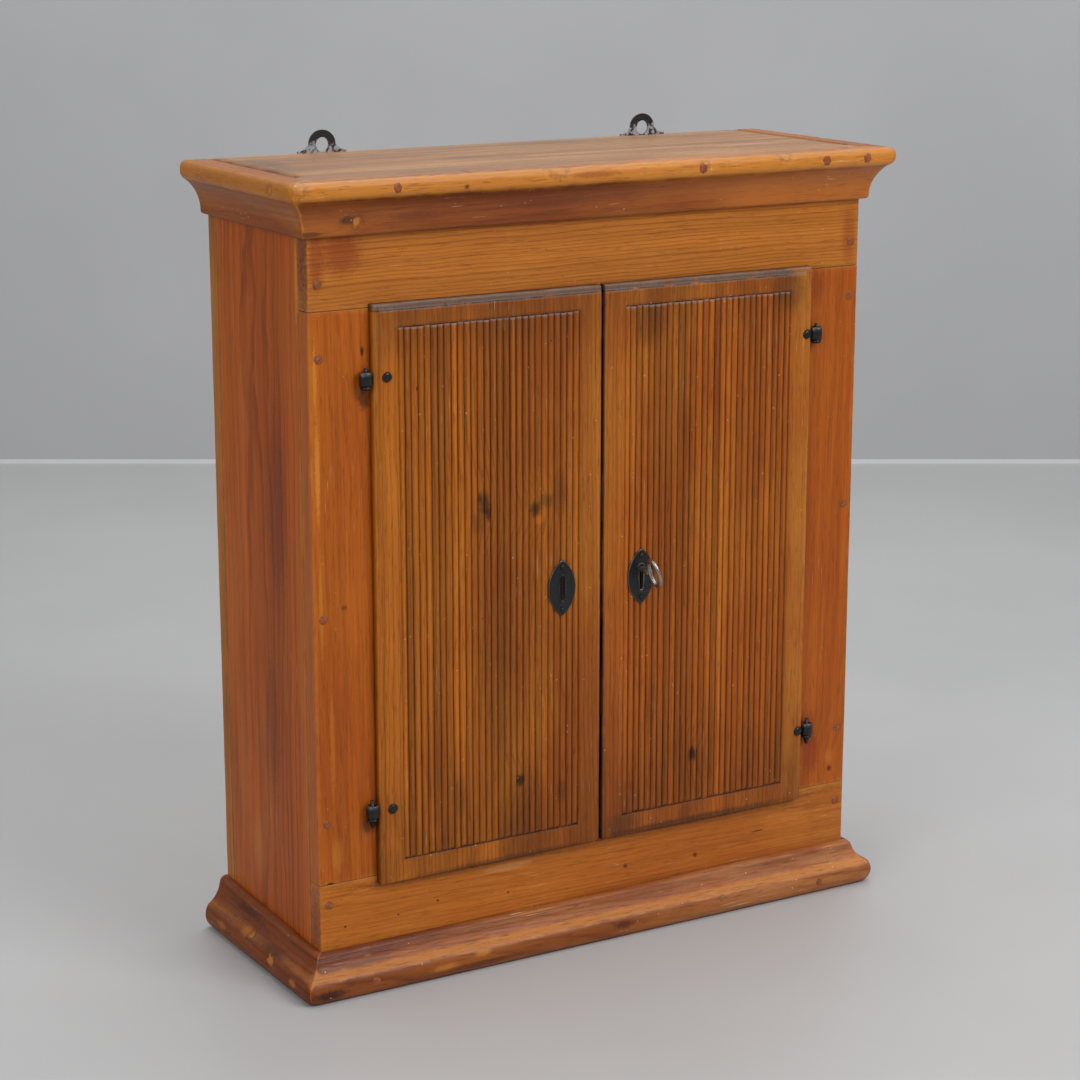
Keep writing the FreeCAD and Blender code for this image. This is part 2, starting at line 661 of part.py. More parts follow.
# Rails run the full width. The top rail has a notch for the slide bolt behind its lower edge.
catch_low = ("slide_x - slide_width / 2 - 2 * slide_play", "slide_face - 2 * slide_play", "opening_high")
catch_size = ("slide_width + 4 * slide_play", "frame_back - slide_face + 2 * slide_play", "catch_depth")
catch = box("slide_catch", catch_low, catch_size)
top_rail_blank = box("top_rail_blank", ("-half", "front", "opening_high"),
                     ("case_width", "frame_thick", "board_top - opening_high"))
node(cut("top_rail", top_rail_blank, [catch, peg_holes["left"][3], peg_holes["right"][3]]))
bottom_rail_blank = box("bottom_rail_blank", ("-half", "front", "0"),
                        ("case_width", "frame_thick", "opening_low"))
node(cut("bottom_rail", bottom_rail_blank, plinth_peg_holes + [peg_holes["left"][4], peg_holes["right"][4]]))

# Mouldings: the profile lies in local YZ with Y outwards, runs along local X and is mitred at the corners.
cove_reach = "cornice_reach - cornice_nose / 2"
cove_high = "cornice_height - cornice_nose * (1 + sqrt(3) / 2)"
cornice_cove = arc_radius(cove_reach + " - cornice_foot", cove_high + " - cornice_round")
cornice_profile = [
    ("0", "0"),
    ("cornice_foot - cornice_round", "0", "cornice_round", -1),
    ("cornice_foot", "cornice_round", cornice_cove, 1),
    (cove_reach, cove_high, "cornice_nose", -1),
    ("cornice_reach", "cornice_height - cornice_nose", "cornice_nose", -1),
    ("cornice_reach - cornice_nose", "cornice_height"),
    ("0", "cornice_height"),
]
round_in = "plinth_reach - plinth_round + sqrt(plinth_round ^ 2 - "
plinth_foot = round_in + "plinth_middle ^ 2)"
plinth_shoulder = round_in + "(plinth_cove_low - plinth_middle) ^ 2)"
plinth_cove = arc_radius(plinth_shoulder + " - plinth_neck", "plinth_cove_high - plinth_cove_low")
plinth_profile = [
    ("0", "0"),
    (plinth_foot, "0", "plinth_round", -1),
    ("plinth_reach", "plinth_middle", "plinth_round", -1),
    (plinth_shoulder, "plinth_cove_low", plinth_cove, 1),
    ("plinth_neck", "plinth_cove_high"),
    ("plinth_neck - plinth_quirk", "plinth_cove_high", "plinth_bead", -1),
    ("plinth_lip", "plinth_height"),
    ("0", "plinth_height"),
]


def moulding(name, profile, reach, tall, run, mitres, spot, turn):
    body = doc.addObject("PartDesign::Body", name)
    section = sketch_on(body, "YZ_Plane", name + "_section")
    outline(section, profile)
    pad(body, section, run)
    for end in mitres:
        corner = sketch_on(body, "XY_Plane", "%s_%s" % (name, end))
        if end == "start":
            outline(corner, [("0", "0"), (reach, "0"), ("0", reach)])
        else:
            outline(corner, [(run + " - " + reach, "0"), (run, "0"), (run, reach)])
        pocket(body, corner, tall, backwards=True)
    body.Placement = FreeCAD.Placement(Vector(), Rotation(Vector(0, 0, 1), turn))
    return place(body, *spot)


for name, profile, low, front_holes in (("cornice", cornice_profile, "cornice_low", nose_peg_holes),
                                        ("plinth", plinth_profile, "0", plinth_peg_holes)):
    reach = name + "_reach"
    tall = name + "_height"
    long = "case_width + 2 * " + reach
    deep = "case_depth + " + reach
    front_blank = moulding(name + "_front_blank", profile, reach, tall, long, ["start", "end"],
                           ("half + " + reach, "front", low), 180)
    left_blank = moulding(name + "_left_blank", profile, reach, tall, deep, ["start"],
                          ("-half", "front - " + reach, low), 90)
    right_blank = moulding(name + "_right_blank", profile, reach, tall, deep, ["end"],
                           ("half", "wall", low), -90)
    node(cut(name + "_front", front_blank, front_holes))
    node(cut(name + "_left", left_blank, [brad_holes[name]["left"]]))
    node(cut(name + "_right", right_blank, [brad_holes[name]["right"]]))

# Hinges: a pin driven into the stile, and an eye whose leaf is let into the door edge and nailed.
hinge_levels = {"upper": "hinge_upper", "lower": "hinge_lower"}
tang_holes = {"left": [], "right": []}
leaf_slots = {"left": [], "right": []}
hinge_nail_holes = {"left": [], "right": []}
for side in ("left", "right"):
    sign = signs[side]
    axis = sign + "axis_x"
    nail_x = "%s(door_outer - nail_inset_%s)" % (sign, side)
    hinge_nails = []
    for level, height in hinge_levels.items():
        name = "%s_%s" % (side, level)
        eye_low = height + " - eye_height / 2"
        collar_low = eye_low + " - seat_gap - collar_height"
        tang_size = ("tang_side", "hinge_out + tang_grip", "tang_side")
        tang_low = (axis + " - tang_side / 2", "axis_y", collar_low + " - tang_side")
        pin_length = "collar_height + seat_gap + eye_height + pin_above"
        node(join("pintle_" + name, [
            rod("pin_" + name, (axis, "axis_y", collar_low), "+z", "pin_radius", pin_length),
            rod("collar_" + name, (axis, "axis_y", collar_low), "+z", "collar_radius", "collar_height"),
            taper("point_" + name, (axis, "axis_y", collar_low + " - point_length"), "+z",
                  "point_tip", "point_wide", "point_length"),
            box("tang_" + name, tang_low, tang_size),
        ]))
        hole_low = (tang_low[0] + " - fit_gap", "axis_y", tang_low[2] + " - fit_gap")
        hole_size = ("tang_side + 2 * fit_gap", tang_size[1] + " + fit_gap", "tang_side + 2 * fit_gap")
        tang_holes[side].append(box("tang_hole_" + name, hole_low, hole_size))

        leaf_x = axis if side == "left" else axis + " - leaf_length"
        leaf = box("leaf_" + name, (leaf_x, "leaf_face", eye_low),
                   ("leaf_length", "leaf_thick", "eye_height"))
        eye = rod("eye_" + name, (axis, "axis_y", eye_low), "+z", "eye_radius", "eye_height")
        bore = rod("eye_bore_" + name, (axis, "axis_y", eye_low), "+z",
                   "pin_radius + run_gap", "eye_height")
        nail_spot = (nail_x, "door_face", height)
        nail_hole = rod("hinge_nail_hole_" + name, nail_spot, "+y",
                        "nail_shank + fit_gap", "nail_length + fit_gap")
        hinge_nail_holes[side].append(nail_hole)
        node(cut("hinge_eye_" + name, join("eye_blank_" + name, [leaf, eye]), [bore, nail_hole]))
        slot_x = leaf_x if side == "left" else leaf_x + " - fit_gap"
        slot_low = (slot_x, "leaf_face - fit_gap", eye_low + " - fit_gap")
        slot_size = ("leaf_length + fit_gap", "leaf_thick + 2 * fit_gap", "eye_height + 2 * fit_gap")
        leaf_slots[side].append(box("leaf_slot_" + name, slot_low, slot_size))

        dome = taper("nail_dome_" + name, (nail_x, "door_face - nail_cap", height), "+y",
                     "nail_crown", "nail_head", "nail_cap")
        shank = rod("nail_stem_" + name, nail_spot, "+y", "nail_shank", "nail_length")
        hinge_nails.append(join("nail_" + name, [dome, shank]))
    node(group("hinge_nails_" + side, hinge_nails))

# Stiles stand between the rails.
for side in ("left", "right"):
    low = ("-half" if side == "left" else "half - stile_width", "front", "opening_low")
    blank = box("stile_%s_blank" % side, low, ("stile_width", "frame_thick", "opening_high - opening_low"))
    node(cut("stile_" + side, blank, peg_holes[side][:3] + tang_holes[side]))

# Key plates: two arcs that meet in points, nailed on the reeds.
plate_arc = arc_radius("plate_width / 2", "plate_height / 2")
plate_nail_holes = {"left": [], "right": []}
for side in ("left", "right"):
    middle = signs[side] + "plate_x"
    body = doc.addObject("PartDesign::Body", "escutcheon_%s_plate" % side)
    face = sketch_on(body, "XZ_Plane", "escutcheon_%s_face" % side)
    outline(face, [
        ("plate_width / 2", "0", plate_arc, -1),
        ("plate_width / 2", "plate_height", plate_arc, -1),
    ])
    pad(body, face, "plate_thick", backwards=True)
    place(body, middle + " - plate_width / 2", "reed_face - plate_thick", "lock_height - plate_height / 2")
    plate_nails = []
    for hand in ("+", "-"):
        spot = (middle, "reed_face - plate_thick", "lock_height %s plate_nail_offset" % hand)
        name = "plate_nail_%s_%d" % (side, len(plate_nails))
        dome = taper(name + "_head", (spot[0], spot[1] + " - plate_nail_cap", spot[2]), "+y",
                     "plate_nail_shank", "plate_nail_head", "plate_nail_cap")
        stem = rod(name + "_stem", spot, "+y", "plate_nail_shank", "plate_nail_length")
        plate_nails.append(join(name, [dome, stem]))
        hole = rod(name + "_hole", spot, "+y", "plate_nail_shank + fit_gap", "plate_nail_length + fit_gap")
        plate_nail_holes[side].append(hole)
    node(group("escutcheon_nails_" + side, plate_nails))
    if side == "left":
        straight = "(slot_height - slot_width)"
        slot_low = "lock_height - %s / 2" % straight
        slot_high = "lock_height + %s / 2" % straight
        slot_box = box("blind_slot", (middle + " - slot_width / 2", "keyhole_front", slot_low),
                       ("slot_width", "keyhole_run", straight))
        opening = [slot_box]
        for end, height in (("low", slot_low), ("high", slot_high)):
            spot = (middle, "keyhole_front", height)
            opening.append(rod("blind_slot_" + end, spot, "+y", "slot_width / 2", "keyhole_run"))
    else:
        keyhole_round = rod("keyhole_round", (middle, "keyhole_front", "key_z"), "+y",
                            "keyhole_radius", "keyhole_run")
        keyhole_low = (middle + " - keyhole_width / 2", "keyhole_front", "key_z - keyhole_drop")
        keyhole_slot = box("keyhole_slot", keyhole_low, ("keyhole_width", "keyhole_run", "keyhole_drop"))
        keyhole = [keyhole_round, keyhole_slot]
        opening = keyhole
    node(cut("escutcheon_" + side, body, opening + plate_nail_holes[side]))

# Lock on the inside of the right door. The bit turns in a wide notch of the bolt.
plate_low = "lock_low - lock_flange"
plate_tall = "lock_tall + 2 * lock_flange"
lock_spots = []
for x in ("lock_x + screw_margin", "lock_x + lock_width - screw_margin"):
    for z in (plate_low + " + screw_margin", plate_low + " + " + plate_tall + " - screw_margin"):
        lock_spots.append((x, "lock_face", z))
lock_screw_holes = screws("lock_screws", lock_spots, "-y")
lock_plate_blank = box("lock_plate_blank", ("lock_x", "door_back", plate_low),
                       ("lock_width", "lock_wall", plate_tall))
node(cut("lock_plate", lock_plate_blank, keyhole + lock_screw_holes))

case_outer = box("lock_case_outer", ("lock_x", "lock_face", "lock_low"),
                 ("lock_width", "lock_deep", "lock_tall"))
case_inner = box("lock_case_inner", ("lock_x + lock_wall", "lock_face", "lock_low + lock_wall"),
                 ("lock_width - 2 * lock_wall", "lock_deep - lock_wall", "lock_tall - 2 * lock_wall"))
bolt_mouth = box("bolt_mouth", ("lock_x", "bolt_y - seat_gap", "bolt_z - seat_gap"),
                 ("lock_wall", "bolt_thick + 2 * seat_gap", "bolt_height + 2 * seat_gap"))
stem_seat = rod("stem_seat", ("plate_x", "lock_face", "key_z"), "+y", "stem_radius + run_gap", "lock_deep")
case_shell = cut("lock_case_shell", case_outer, [case_inner, bolt_mouth, stem_seat])
stump = rod("bolt_stump", ("stump_x", "lock_face", "bolt_middle"), "+y", "stump_radius", "lock_deep")
node(join("lock_case", [case_shell, stump]))

bolt_x = "lock_x - bolt_proud"
bolt_blank = box("lock_bolt_blank", (bolt_x, "bolt_y", "bolt_z"),
                 ("bolt_length", "bolt_thick", "bolt_height"))
talon = box("bolt_talon", ("plate_x + throw / 2 - talon_width / 2", "bolt_y", "bolt_z"),
            ("talon_width", "bolt_thick", "talon_depth"))
slot_low = ("stump_x - 2 * stump_room", "bolt_y", "bolt_middle - stump_room")
stump_slot = box("bolt_slot", slot_low, ("throw + 4 * stump_room", "bolt_thick", "2 * stump_room"))
node(cut("lock_bolt", bolt_blank, [talon, stump_slot]))

# Leaf spring between the bolt and the top of the case.
spring_body = doc.addObject("PartDesign::Body", "lock_spring")
spring_side = sketch_on(spring_body, "XZ_Plane", "spring_side")
spring_drop = "lock_above - lock_wall - bolt_rise - bolt_height - seat_gap"
spring_arc = arc_radius(spring_drop, "spring_length / 2")
thin_drop = "(%s - spring_thick)" % spring_drop
thin_half = "(spring_length / 2 - 2 * spring_thick)"
outline(spring_side, [
    ("0", spring_drop, spring_arc, -1),
    ("spring_length", spring_drop),
    ("spring_length / 2 + " + thin_half, spring_drop, arc_radius(thin_drop, thin_half), 1),
    ("spring_length / 2 - " + thin_half, spring_drop),
])
pad(spring_body, spring_side, "bolt_thick", backwards=True)
place(spring_body, "lock_x + (lock_width - spring_length) / 2", "bolt_y", "bolt_z + bolt_height + seat_gap")
node(spring_body)

# Key, modelled flat along its own axis with the door face at Y = 0, then turned.
# The bow is an oval of four round bars: two tight bends at the ends and two wide ones between them.
bow_middle = "-(key_reach - door_proud) + bow_length / 2"
bow_bends = {
    "top": ("bow_tip", "0", "bow_end", "-bow_turn", "2 * bow_turn"),
    "back": ("0", "bow_depth - bow_flat", "bow_flat", "bow_turn", "180 - 2 * bow_turn"),
    "bottom": ("-bow_tip", "0", "bow_end", "180 - bow_turn", "2 * bow_turn"),
    "front": ("0", "bow_flat - bow_depth", "bow_flat", "180 + bow_turn", "180 - 2 * bow_turn"),
}
bow = []
for name, (x, y, radius, start, sweep) in bow_bends.items():
    bend = doc.addObject("Part::Torus", "bow_" + name)
    bend.Placement = FreeCAD.Placement(Vector(), Rotation(Vector(0, 0, 1), value(start) % 360))
    bend.setExpression("Placement.Rotation.Angle", formula(start))
    bind(bend, Radius1=radius, Radius2="bow_wire", Angle3=sweep)
    bow.append(place(bend, x, "%s + %s" % (bow_middle, y), "0"))
stem_start = bow_middle + " + bow_depth"
stem_end = "door_thick + lock_wall + lock_deep"
stem = rod("stem", ("0", stem_start, "0"), "+y", "stem_radius", stem_end + " - (" + stem_start + ")")
ring = rod("stem_ring", ("0", bow_middle + " + bow_length / 2", "0"), "+y", "stem_ring", "stem_ring_length")
bit_start = "door_thick + bolt_back + bolt_thick / 2 - bit_length / 2"
bit = box("bit", ("-bit_reach", bit_start, "-bit_thick / 2"), ("bit_reach", "bit_length", "bit_thick"))
key = node(join("key", bow + [stem, ring, bit]))
upright = 90
key.Placement = FreeCAD.Placement(Vector(), Rotation(Vector(0, -1, 0), upright + value("key_tilt")))
key.setExpression("Placement.Rotation.Angle", formula("%d + key_tilt" % upright))
place(key, "plate_x", "door_face", "key_z")

# Keeper on the left door that takes the thrown lock bolt.
keeper_low = "bolt_middle - keeper_gap - keeper_thick - keeper_foot"
keeper_tall = "2 * (keeper_gap + keeper_thick + keeper_foot)"
keeper_feet = box("keeper_feet", ("keeper_x", "door_back", keeper_low),
                  ("keeper_wide", "keeper_thick", keeper_tall))
keeper_block = box("keeper_block", ("keeper_x", "door_back", "bolt_middle - keeper_gap - keeper_thick"),
                   ("keeper_wide", "keeper_deep", "2 * (keeper_gap + keeper_thick)"))
keeper_mouth = box("keeper_mouth", ("keeper_x", "door_back", "bolt_middle - keeper_gap"),
                   ("keeper_wide", "keeper_deep - keeper_thick", "2 * keeper_gap"))
keeper_middle = "keeper_x + keeper_wide / 2"
keeper_spots = []
for height in (keeper_low + " + keeper_foot / 2", keeper_low + " + " + keeper_tall + " - keeper_foot / 2"):
    keeper_spots.append((keeper_middle, "door_back + keeper_thick", height))
keeper_holes = screws("keeper_screws", keeper_spots, "-y")
node(cut("lock_keeper", join("keeper_blank", [keeper_feet, keeper_block]), [keeper_mouth] + keeper_holes))

# Slide bolt at the top of the left door: plate, two straps and the bolt with its knob.
slide_spots = []
slide_plate_x = "slide_x - slide_plate_width / 2"
for x in (slide_plate_x + " + screw_margin", slide_plate_x + " + slide_plate_width - screw_margin"):
    for z in ("slide_plate_low + screw_margin", "slide_plate_top - screw_margin"):
        slide_spots.append((x, "door_back + slide_plate_thick", z))
slide_holes = screws("slide_bolt_screws", slide_spots, "-y")
slide_plate_blank = box("slide_plate_blank", (slide_plate_x, "door_back", "slide_plate_low"),
                        ("slide_plate_width", "slide_plate_thick", "slide_plate_length"))
node(cut("slide_bolt_plate", slide_plate_blank, slide_holes))
straps = []
strap_face = "door_back + slide_plate_thick"
strap_half = "(slide_width / 2 + slide_play)"
for low in ("slide_plate_low + strap_margin", "slide_plate_top - strap_margin - strap_height"):
    name = "strap_%d" % len(straps)
    strap_low = ("slide_x - %s - slide_plate_thick" % strap_half, strap_face, low)
    strap_wide = "2 * (%s + slide_plate_thick)" % strap_half
    outer = box(name + "_outer", strap_low, (strap_wide, "slide_gap + slide_plate_thick", "strap_height"))
    inner = box(name + "_inner", ("slide_x - " + strap_half, strap_face, low),
                ("2 * " + strap_half, "slide_gap", "strap_height"))
    straps.append(cut(name, outer, [inner]))
node(group("slide_bolt_straps", straps))
slide_bar = box("slide_bar", ("slide_x - slide_width / 2", "slide_face", "slide_top - slide_length"),
                ("slide_width", "slide_thick", "slide_length"))
knob_z = "slide_plate_low + strap_margin + strap_height + knob_radius + seat_gap"
slide_knob = rod("slide_knob", ("slide_x", "slide_face + slide_thick / 2", knob_z), "+y",
                 "knob_radius", "slide_thick / 2 + knob_length")
node(join("slide_bolt", [slide_bar, slide_knob]))

# Door board, made for the left side: a lip over the frame, a tongue in the opening, a sunk field of reeds.
board = doc.addObject("PartDesign::Body", "door_board")
lip = sketch_on(board, "XZ_Plane", "door_lip")
rectangle(lip, "0", "0", "door_width", "door_height")
pad(board, lip, "lip_thick", backwards=True)
tongue = sketch_on(board, "XZ_Plane", "door_tongue")
rectangle(tongue, "lip_side + rebate_gap", "lip_low + rebate_gap",
          "door_width - lip_side - rebate_gap", "door_height - lip_low - lip_high - 2 * rebate_gap")
thickness = pad(board, tongue, "door_thick", backwards=True)
doc.recompute()
rim = [number for number, edge in enumerate(thickness.Shape.Edges, 1)
       if edge.BoundBox.YMax < value("fit_gap")]
rounding = board.newObject("PartDesign::Fillet", "door_rounding")
rounding.Base = (thickness, ["Edge%d" % number for number in rim])
bind(rounding, Radius="door_round")
field = sketch_on(board, "XZ_Plane", "door_field")
rectangle(field, "border_hinge", "border_low", "field_width", "field_height")
pocket(board, field, "reed_sink")
groove = sketch_on(board, "XY_Plane", "door_groove")
groove.setExpression("AttachmentOffset.Base.z", formula("border_low"))
groove_half = "(reed_pitch / 2 - reed_land / 2)"
groove_low = "reed_sink + reed_depth"
crown = "((reed_pitch ^ 2 / 4 + reed_depth ^ 2 - reed_land ^ 2 / 4) / (2 * reed_depth))"
reed_radius = "sqrt(reed_land ^ 2 / 4 + %s ^ 2)" % crown
outline(groove, [
    ("border_hinge - " + groove_half, "reed_sink", reed_radius, -1),
    ("border_hinge", groove_low, reed_radius, -1),
    ("border_hinge + " + groove_half, "reed_sink"),
    ("border_hinge + " + groove_half, "0"),
    ("border_hinge - " + groove_half, "0"),
])
first_groove = pocket(board, groove, "field_height", backwards=True)
doc.recompute()
grooves = board.newObject("PartDesign::LinearPattern", "door_grooves")
grooves.Originals = [first_groove]
grooves.Direction = (plane(board, "X_Axis"), [""])
bind(grooves, Length="field_width", Occurrences="reed_count + 1")
board.Tip = grooves
place(board, "-door_outer", "door_face", "door_low")
mirrored = doc.addObject("Part::Mirroring", "door_board_mirrored")
mirrored.Source = board
mirrored.Normal = Vector(1, 0, 0)
fixings = {"left": keeper_holes + slide_holes, "right": keyhole + lock_screw_holes}
for side, blank in (("left", board), ("right", mirrored)):
    tools = leaf_slots[side] + hinge_nail_holes[side] + plate_nail_holes[side] + fixings[side]
    node(cut("door_" + side, blank, tools))

doc.recompute()

failed = [item.Label for item in doc.Objects if {"Invalid", "Error"} & set(item.State)]
for piece in nodes:
    if piece.Shape.isNull() or not piece.Shape.isValid() or not piece.Shape.Solids:
        failed.append(piece.Label)
if failed:
    raise RuntimeError("failed: " + ", ".join(failed))

plain_board = value("door_width * door_height * lip_thick")
if not value("door_thick") * value("door_width * door_height") > board.Shape.Volume > plain_board:
    raise RuntimeError("the door field is not cut as drawn")

os.makedirs("parts", exist_ok=True)
for piece in nodes:
    piece.Shape.exportStep("parts/%s.step" % piece.Label)
print(len(nodes), "parts written")
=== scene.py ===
import math

import bmesh
import bpy
import numpy as np
from mathutils import Matrix, Vector, noise


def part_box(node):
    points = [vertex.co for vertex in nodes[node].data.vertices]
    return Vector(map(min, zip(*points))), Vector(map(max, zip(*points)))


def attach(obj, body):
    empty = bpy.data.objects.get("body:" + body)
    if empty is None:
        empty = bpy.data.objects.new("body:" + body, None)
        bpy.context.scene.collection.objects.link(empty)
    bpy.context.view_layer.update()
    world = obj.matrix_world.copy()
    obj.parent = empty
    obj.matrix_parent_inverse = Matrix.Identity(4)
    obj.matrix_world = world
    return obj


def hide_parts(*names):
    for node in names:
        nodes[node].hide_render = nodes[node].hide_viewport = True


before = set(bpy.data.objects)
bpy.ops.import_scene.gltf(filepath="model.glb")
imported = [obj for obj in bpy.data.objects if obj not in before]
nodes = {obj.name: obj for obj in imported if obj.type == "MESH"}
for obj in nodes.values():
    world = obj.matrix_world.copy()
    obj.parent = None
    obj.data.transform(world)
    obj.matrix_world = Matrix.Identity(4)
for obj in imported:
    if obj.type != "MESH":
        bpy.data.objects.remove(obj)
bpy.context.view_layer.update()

sceneRoot = bpy.context.scene
mm = 0.001
tiny = 1e-6  # a length that counts as none, in metres


def linear(tone):  # screen colour, 0 to 255, to a shader colour
    parts = [part / 255 for part in tone]
    bent = [part / 12.92 if part <= 0.04045 else ((part + 0.055) / 1.055) ** 2.4 for part in parts]
    return (*bent, 1)


def newPiece(name, points, faces, smooth=True):
    mesh = bpy.data.meshes.new(name)
    mesh.from_pydata([tuple(point) for point in points], [], [list(face) for face in faces])
    mesh.validate()
    mesh.polygons.foreach_set("use_smooth", [smooth] * len(mesh.polygons))
    mesh.update()
    piece = bpy.data.objects.new(name, mesh)
    sceneRoot.collection.objects.link(piece)
    return piece


def writeValues(piece, **values):  # one number for each point, read by the materials
    for name, numbers in values.items():
        layer = piece.data.attributes.new(name, "FLOAT", "POINT")
        layer.data.foreach_set("value", np.asarray(numbers, np.float32))


def dress(piece, body, material, slot, *stoodFor):
    piece.data.materials.clear()
    piece.data.materials.append(material)
    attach(piece, body)
    if stoodFor:
        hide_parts(*stoodFor)
    return piece


def waves(points, size, seed):  # smooth noise from -1 to 1, one value for each point
    shift = Vector((seed * 3.1, seed * 1.7, seed * 5.3))
    return np.array([noise.noise(Vector(point) / size + shift) for point in points])


def ringFaces(ring, rows, flip=False):  # a tube of rings of points, closed at both ends
    faces = []
    for first in range(0, (rows - 1) * ring, ring):
        for place in range(ring):
            following = first + (place + 1) % ring
            faces.append((first + place, following, following + ring, first + place + ring))
    faces.append(tuple(reversed(range(ring))))
    faces.append(tuple(range((rows - 1) * ring, rows * ring)))
    return [face[::-1] for face in faces] if flip else faces


# Node helpers, for materials and for Geometry Nodes
def feed(tree, socket, source):
    if isinstance(source, bpy.types.NodeSocket):
        tree.links.new(source, socket)
    else:
        socket.default_value = source


def put(tree, kind, feeds=None, **settings):
    made = tree.nodes.new(kind)
    for name, setting in settings.items():
        setattr(made, name, setting)
    for key, source in (feeds or {}).items():
        feed(tree, made.inputs[key], source)
    return made


def calc(tree, operation, *sources, clamp=False):
    feeds = dict(enumerate(sources))
    return put(tree, "ShaderNodeMath", feeds, operation=operation, use_clamp=clamp).outputs[0]


def times(tree, first, second):
    return calc(tree, "MULTIPLY", first, second)


def minus(tree, first, second):
    return calc(tree, "SUBTRACT", first, second)


def scaleAdd(tree, source, factor, start, clamp=False):  # source times factor, plus start
    return calc(tree, "MULTIPLY_ADD", source, factor, start, clamp=clamp)


def stretch(tree, vector, scale, shift=(0, 0, 0)):
    feeds = {0: vector, 1: scale, 2: shift}
    return put(tree, "ShaderNodeVectorMath", feeds, operation="MULTIPLY_ADD").outputs[0]


def brighten(tree, colour, factor):
    return put(tree, "ShaderNodeVectorMath", {0: colour, "Scale": factor}, operation="SCALE").outputs[0]


def speckle(tree, vector, scale=1, detail=2, roughness=0.5):
    feeds = {"Vector": vector, "Scale": scale, "Detail": detail, "Roughness": roughness}
    return put(tree, "ShaderNodeTexNoise", feeds).outputs["Fac"]


def ease(tree, source, start, stop, low=0, high=1):
    feeds = {"Value": source, "From Min": start, "From Max": stop, "To Min": low, "To Max": high}
    return put(tree, "ShaderNodeMapRange", feeds, interpolation_type="SMOOTHSTEP").outputs[0]


def split(tree, vector):
    return put(tree, "ShaderNodeSeparateXYZ", {0: vector}).outputs


def join(tree, **parts):
    return put(tree, "ShaderNodeCombineXYZ", parts).outputs[0]


def stored(tree, name):  # a value that the piece keeps at its points
    return put(tree, "ShaderNodeAttribute", attribute_name=name).outputs["Fac"]


def layer(tree, colour, *coats):  # each coat is a factor and a colour
    for factor, tone in coats:
        colour = put(tree, "ShaderNodeMix", {0: factor, 6: colour, 7: tone}, data_type="RGBA").outputs[2]
    return colour


def newGroup(kind, name, inputs, outputs):
    tree = bpy.data.node_groups.new(name, kind)
    for way, sockets in (("INPUT", inputs), ("OUTPUT", outputs)):
        for label, form, *start in sockets:
            socket = tree.interface.new_socket(name=label, in_out=way, socket_type="NodeSocket" + form)
            if start:
                socket.default_value = start[0]
    return tree, put(tree, "NodeGroupInput").outputs, put(tree, "NodeGroupOutput").inputs


def maskGroup(name, *inputs):
    return newGroup("ShaderNodeTree", name, [("Vector", "Vector"), *inputs], [("Mask", "Float")])


def placeGroup(tree, group, **sources):
    return put(tree, "ShaderNodeGroup", sources, node_tree=group).outputs


def newMaterial(name):
    material = bpy.data.materials.new(name)
    material.use_nodes = True
    tree = material.node_tree
    spot = put(tree, "ShaderNodeTexCoord").outputs["Object"]
    return material, tree, tree.nodes["Principled BSDF"].inputs, spot


def addRelief(tree, shader, height, strength):
    relief = put(tree, "ShaderNodeBump", {"Strength": strength, "Distance": 0.4 * mm, "Height": height})
    feed(tree, shader["Normal"], relief.outputs[0])


# Shared effects
grain = {
    "bend": (1.6, 7, 7), "sway": (2.2, 9, 9), "ripple": (13, 30, 30),  # noise scales, along and across
    "ragged": (12, 260, 260), "fibre": (9, 520, 520), "streak": (1.3, 75, 75),
    "spacing": 55, "uneven": 0.012, "raggedShare": 0.22,  # ring spacing varies, ring edges are ragged
    "rise": (0.5, 0.86), "fall": (0.87, 0.97),  # where late wood begins and ends within a ring
}


def makePineGrain():  # X runs along the grain
    tree, given, result = newGroup("ShaderNodeTree", "pineGrain", [
        ("Vector", "Vector"), ("Rings", "Float", 170), ("Pith", "Vector"), ("Tilt", "Float", 0.02),
        ("Wander", "Float", 0.012), ("Ripple", "Float", 0.006), ("Push", "Float")],
        [("Late", "Float"), ("Fibre", "Float"), ("Streak", "Float")])

    def grainNoise(name, shift=(0, 0, 0), detail=2, roughness=0.5):
        return speckle(tree, stretch(tree, given["Vector"], grain[name], shift), 1, detail, roughness)

    def swing(source):
        return minus(tree, source, 0.5)

    feeds = {0: given["Vector"], 1: given["Pith"]}
    x, y, z = split(tree, put(tree, "ShaderNodeVectorMath", feeds, operation="SUBTRACT").outputs[0])
    y = scaleAdd(tree, swing(grainNoise("bend")), given["Wander"], scaleAdd(tree, x, given["Tilt"], y))
    z = scaleAdd(tree, swing(grainNoise("sway", (7, 3, 1))), given["Wander"], z)
    radius = calc(tree, "SQRT", scaleAdd(tree, y, y, times(tree, z, z)))
    radius = scaleAdd(tree, swing(grainNoise("ripple", (2, 8, 4))), given["Ripple"], radius)
    radius = calc(tree, "ADD", radius, given["Push"])
    uneven = swing(speckle(tree, join(tree, X=radius), grain["spacing"], 1))
    radius = scaleAdd(tree, uneven, grain["uneven"], radius)
    turn = scaleAdd(tree, grainNoise("ragged"), grain["raggedShare"], times(tree, radius, given["Rings"]))
    turn = calc(tree, "FRACT", turn)
    late = times(tree, ease(tree, turn, *grain["rise"]), ease(tree, turn, *grain["fall"], 1, 0))
    feed(tree, result["Late"], late)
    feed(tree, result["Fibre"], grainNoise("fibre", detail=3, roughness=0.6))
    feed(tree, result["Streak"], grainNoise("streak", detail=3, roughness=0.55))
    return tree


